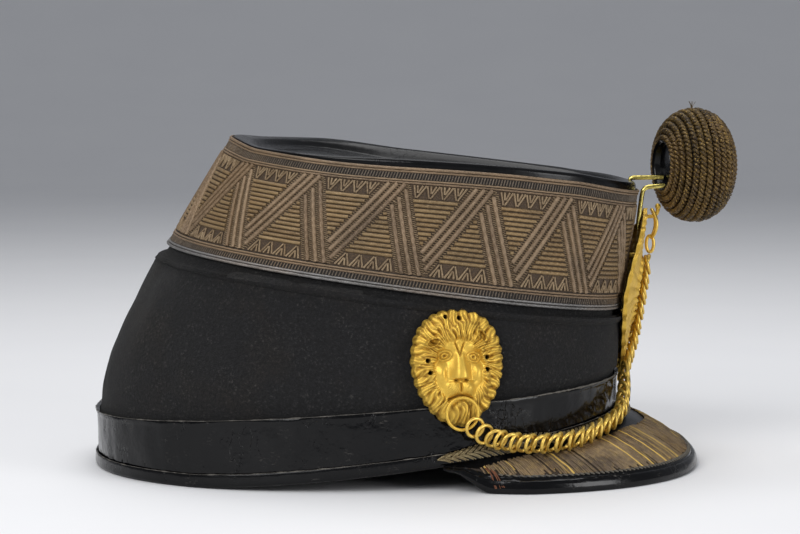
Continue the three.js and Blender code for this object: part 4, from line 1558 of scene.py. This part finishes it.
def pompom_matrix():
    """From the pompom's own frame (its axis along +X) to the hat's."""
    turn = Matrix.Rotation(math.radians(POMPOM["turn"]), 4, "Z")
    return Matrix.Translation((POMPOM["x"], 0, POMPOM["z"])) @ turn


def ring_point(matrix, a, r, theta):
    """A point of the pompom: a along its axis and r from it, at an angle round it."""
    return matrix @ Vector((a, r * math.cos(theta), r * math.sin(theta)))


def ball_radius(angle):
    """The ball's radius as a share, fuller at the shoulders than a sphere's."""
    return max(0, math.cos(angle)) ** 0.72


def pompom_profile():
    """The ball's outline from the socket's lip to the front, as (along, radius) at even steps."""
    fine = []
    for i in range(201):
        angle = lerp(-math.asin(0.985), math.pi / 2, i / 200)
        fine.append((POMPOM["half"] * math.sin(angle), POMPOM["radius"] * ball_radius(angle)))
    fine = [(a, r) for a, r in fine if a > -2 or r > POMPOM["socket"] + 0.6]
    rows, gone = [], 0.0
    for (a0, r0), (a1, r1) in zip(fine, fine[1:]):
        gone += math.hypot(a1 - a0, r1 - r0)
        if gone >= CORD_PITCH:
            gone -= CORD_PITCH
            rows.append((a1, r1))
    return rows


def make_pompom_cord(material):
    """Rows of two-strand bullion cord wound round the ball."""
    matrix = pompom_matrix()
    random.seed(21)
    lines = []
    strand = 0.78
    for along_axis, radius in pompom_profile():
        middle = radius - 1.15
        if middle < 1.5:
            continue
        inward = 1.0 if along_axis < 0 else -1.0
        a_centre = along_axis + inward * 0.9 * (1 - radius / POMPOM["radius"])
        turns = max(4, round(2 * math.pi * middle / 3.7))
        steps = turns * 7
        phase = random.uniform(0, math.pi)
        for part in (0, math.pi):
            line = ["closed"]
            for i in range(steps):
                theta = 2 * math.pi * i / steps
                twist = turns * theta + part + phase
                around = Vector((along_axis, 3 * math.cos(theta), 3 * math.sin(theta)))
                slack = 0.18 * noise.noise(around)
                r = middle + strand * math.cos(twist) + slack
                a = a_centre + strand * math.sin(twist)
                line.append(ring_point(matrix, a, r, theta))
            lines.append(line)
    piece = cords("pompom_cord", lines, THREAD["bullion"])
    return finish(piece, material, "gold_bullion", "pompom")


def make_pompom_core(material, leather):
    matrix = pompom_matrix()
    half, socket = POMPOM["half"], POMPOM["socket"]

    def place(u, v):
        angle = lerp(-math.asin(0.93), math.pi / 2, min(v / 0.8, 1))
        a = (half - 1.8) * math.sin(angle)
        r = (POMPOM["radius"] - 1.7) * ball_radius(angle)
        if v < 0.001:
            r = socket
        return ring_point(matrix, a, r, 2 * math.pi * u)

    core = shell("pompom_core", 64, 40, place, THICK["pompom_core"])
    finish(core, material, "gold_bullion", crease=60)

    lip = socket + 0.9
    cup_profile = (  # radius, along the axis
        (0.0, 3.2 - half), (lip - 1.2, 3.4 - half), (lip - 0.4, 1.2 - half),
        (lip + 0.5, 0.5 - half), (lip + 1.6, 1.8 - half),
    )

    def cup(u, v):
        r, a = on_profile(cup_profile, v)
        return ring_point(matrix, a, r, 2 * math.pi * u)

    disc = shell("pompom_cup", 64, 24, cup, THICK["pompom_cup"])
    finish(disc, leather, "patent_leather", "pompom_base", crease=60)


def make_pompom_tuft(material):
    """Loose thread ends that stand up from the top of the ball."""
    random.seed(8)
    matrix = pompom_matrix()
    lines = []
    for _ in range(7):
        line = []
        lean_a, lean_y = random.uniform(-0.5, 0.5), random.uniform(-0.4, 0.4)
        for k in range(5):
            t = k / 4
            end = Vector((
                -1 + lean_a * 3 * t * t, lean_y * 3 * t, POMPOM["radius"] - 1 + 3.6 * t))
            line.append((matrix @ end, 1 - 0.5 * t))
        lines.append(line)
    finish(cords("pompom_tuft", lines, THREAD["tuft"], 0), material, "gold_bullion")


# Each wire: places with x and z from the crown's front edge, then two with x from the socket's
# mouth instead.
WIRES = {
    "wire_outer": (
        (-0.5, -6.8, -16), (-0.2, -6.8, -13), (0.5, -6.8, -7), (1.1, -6.8, -2.5),
        (1.5, -6.8, -0.6), (2.4, -6.75, 0.5), (3.8, -6.7, 1.0), (-3, -6.4, 1.3), (0, -6.2, 1.5),
    ),
    "wire_inner": (
        (-3.4, 0.4, 3.2), (-2.8, 0.4, 4.1), (-1.6, 0.35, 4.4), (1, 0.3, 4.4), (-3, 0.1, 4.5),
        (0, 0, 4.5),
    ),
}


def make_pompom_wires(material):
    crown = level_point(CROWN_EDGE, math.pi / 2, 0)
    mouth = POMPOM["x"] - POMPOM["half"] + 2.5
    for name, places in WIRES.items():
        starts = [crown.x] * (len(places) - 2) + [mouth] * 2
        shares = [0.7] + [1] * (len(places) - 1)
        line = [
            (Vector((start + x, y, crown.z + z)), share)
            for start, (x, y, z), share in zip(starts, places, shares)
        ]
        piece = cords(name, [line], THREAD["pompom_wire"], 4)
        finish(piece, material, "brass_wire", f"pompom_{name}")


class SHAKO_OT_pompom(bpy.types.Operator):
    """Bullion pompom, its cup and its two wires"""

    bl_idname = "shako.pompom"
    bl_label = "Pompom"

    def execute(self, context):
        bullion = metal_thread("gold bullion cord", "#150D05", "#2E200E", "#B8954A", 0.45, 0.5,
                               (0, 1, 0.1), (0.54, 0.7, 0.85))
        make_pompom_cord(bullion)
        make_pompom_core(dark_ground("brown cord core", "#120C06", "#1C130A"),
                         bpy.data.materials["patent leather, rim"])
        make_pompom_tuft(bullion)
        make_pompom_wires(bright_wire(colours()))
        return {"FINISHED"}


# ---------- stage ----------

CAMERA = {"x": 16.9, "distance": 1015, "height": 161, "pitch": 4.7, "lens": 113.0}
LIGHT_AIM = Vector((0, 0, 0.05))
LIGHTS = (  # name, place, size, power
    ("key", (-0.7, -1.1, 0.95), 0.9, 17),
    ("fill", (1.2, -0.85, 0.36), 0.6, 9),
    ("top", (0.0, 0.25, 1.2), 0.9, 9),
)


SWEEP = {"half_width": 7000, "front": -3000, "length": 9500, "bend_start": 2000, "bend": 2500}


def make_floor():
    """A floor that sweeps up far behind the hat."""
    def place(u, v):
        x = lerp(-SWEEP["half_width"], SWEEP["half_width"], u)
        run = SWEEP["front"] + SWEEP["length"] * v
        turn = max(0, run - SWEEP["bend_start"]) / SWEEP["bend"]
        if turn == 0:
            return Vector((x, run, 0))
        angle = min(turn, math.pi / 2)
        rise = SWEEP["bend"] * (1 - math.cos(angle) + max(0, turn - math.pi / 2))
        return Vector((x, SWEEP["bend_start"] + SWEEP["bend"] * math.sin(angle), rise))

    floor = surface("floor", 4, 96, place)
    floor.data.materials.append(painted_floor())
    pick(floor)
    bpy.ops.object.shade_smooth()


def make_lights():
    for name, place, size, power in LIGHTS:
        data = bpy.data.lights.new(name, "AREA")
        data.shape = "SQUARE"
        data.size = size
        data.energy = power
        lamp = bpy.data.objects.new(name, data)
        lamp.location = place
        lamp.rotation_euler = (LIGHT_AIM - Vector(place)).to_track_quat("-Z", "Y").to_euler()
        bpy.context.scene.collection.objects.link(lamp)
    world = bpy.data.worlds.new("studio")
    world.use_nodes = True
    world.node_tree.nodes["Background"].inputs["Color"].default_value = linear("#D8DCE4")
    world.node_tree.nodes["Background"].inputs["Strength"].default_value = 0.35
    bpy.context.scene.world = world


def make_camera():
    data = bpy.data.cameras.new("camera")
    data.lens = CAMERA["lens"]
    data.clip_start = 0.01
    camera = bpy.data.objects.new("camera", data)
    camera.location = metres((CAMERA["x"], -CAMERA["distance"], CAMERA["height"]))
    camera.rotation_euler = (math.radians(90 - CAMERA["pitch"]), 0, 0)
    bpy.context.scene.collection.objects.link(camera)
    bpy.context.scene.camera = camera


class SHAKO_OT_stage(bpy.types.Operator):
    """Pale floor, soft lights and the camera"""

    bl_idname = "shako.stage"
    bl_label = "Stage"

    def execute(self, context):
        context.scene.view_settings.view_transform = "Standard"
        make_floor()
        make_lights()
        make_camera()
        return {"FINISHED"}


# ---------- add-on ----------

OPERATORS = (
    SHAKO_OT_stage, SHAKO_OT_body, SHAKO_OT_leather, SHAKO_OT_lace, SHAKO_OT_peak,
    SHAKO_OT_bosses, SHAKO_OT_fittings, SHAKO_OT_pompom,
)


class SHAKO_PT_panel(bpy.types.Panel):
    """The shako's pieces and settings"""

    bl_idname = "SHAKO_PT_panel"
    bl_label = "Shako"
    bl_space_type = "VIEW_3D"
    bl_region_type = "UI"
    bl_category = "Shako"

    def draw(self, context):
        for group in (context.scene.shako_sizes, context.scene.shako_colours):
            for name in group.bl_rna.properties.keys():
                if name not in ("rna_type", "name"):
                    self.layout.prop(group, name)
        for operator in OPERATORS:
            self.layout.operator(operator.bl_idname)


CLASSES = (ShakoColours, ShakoSizes, *OPERATORS, SHAKO_PT_panel)


def register():
    for item in CLASSES:
        bpy.utils.register_class(item)
    bpy.types.Scene.shako_colours = bpy.props.PointerProperty(type=ShakoColours)
    bpy.types.Scene.shako_sizes = bpy.props.PointerProperty(type=ShakoSizes)


def unregister():
    del bpy.types.Scene.shako_sizes
    del bpy.types.Scene.shako_colours
    for item in reversed(CLASSES):
        bpy.utils.unregister_class(item)


def main():
    register()
    bpy.ops.shako.stage()
    bpy.ops.shako.body()
    bpy.ops.shako.leather()
    bpy.ops.shako.lace()
    bpy.ops.shako.peak()
    bpy.ops.shako.bosses()
    bpy.ops.shako.fittings()
    bpy.ops.shako.pompom()


if __name__ == "__main__":
    main()
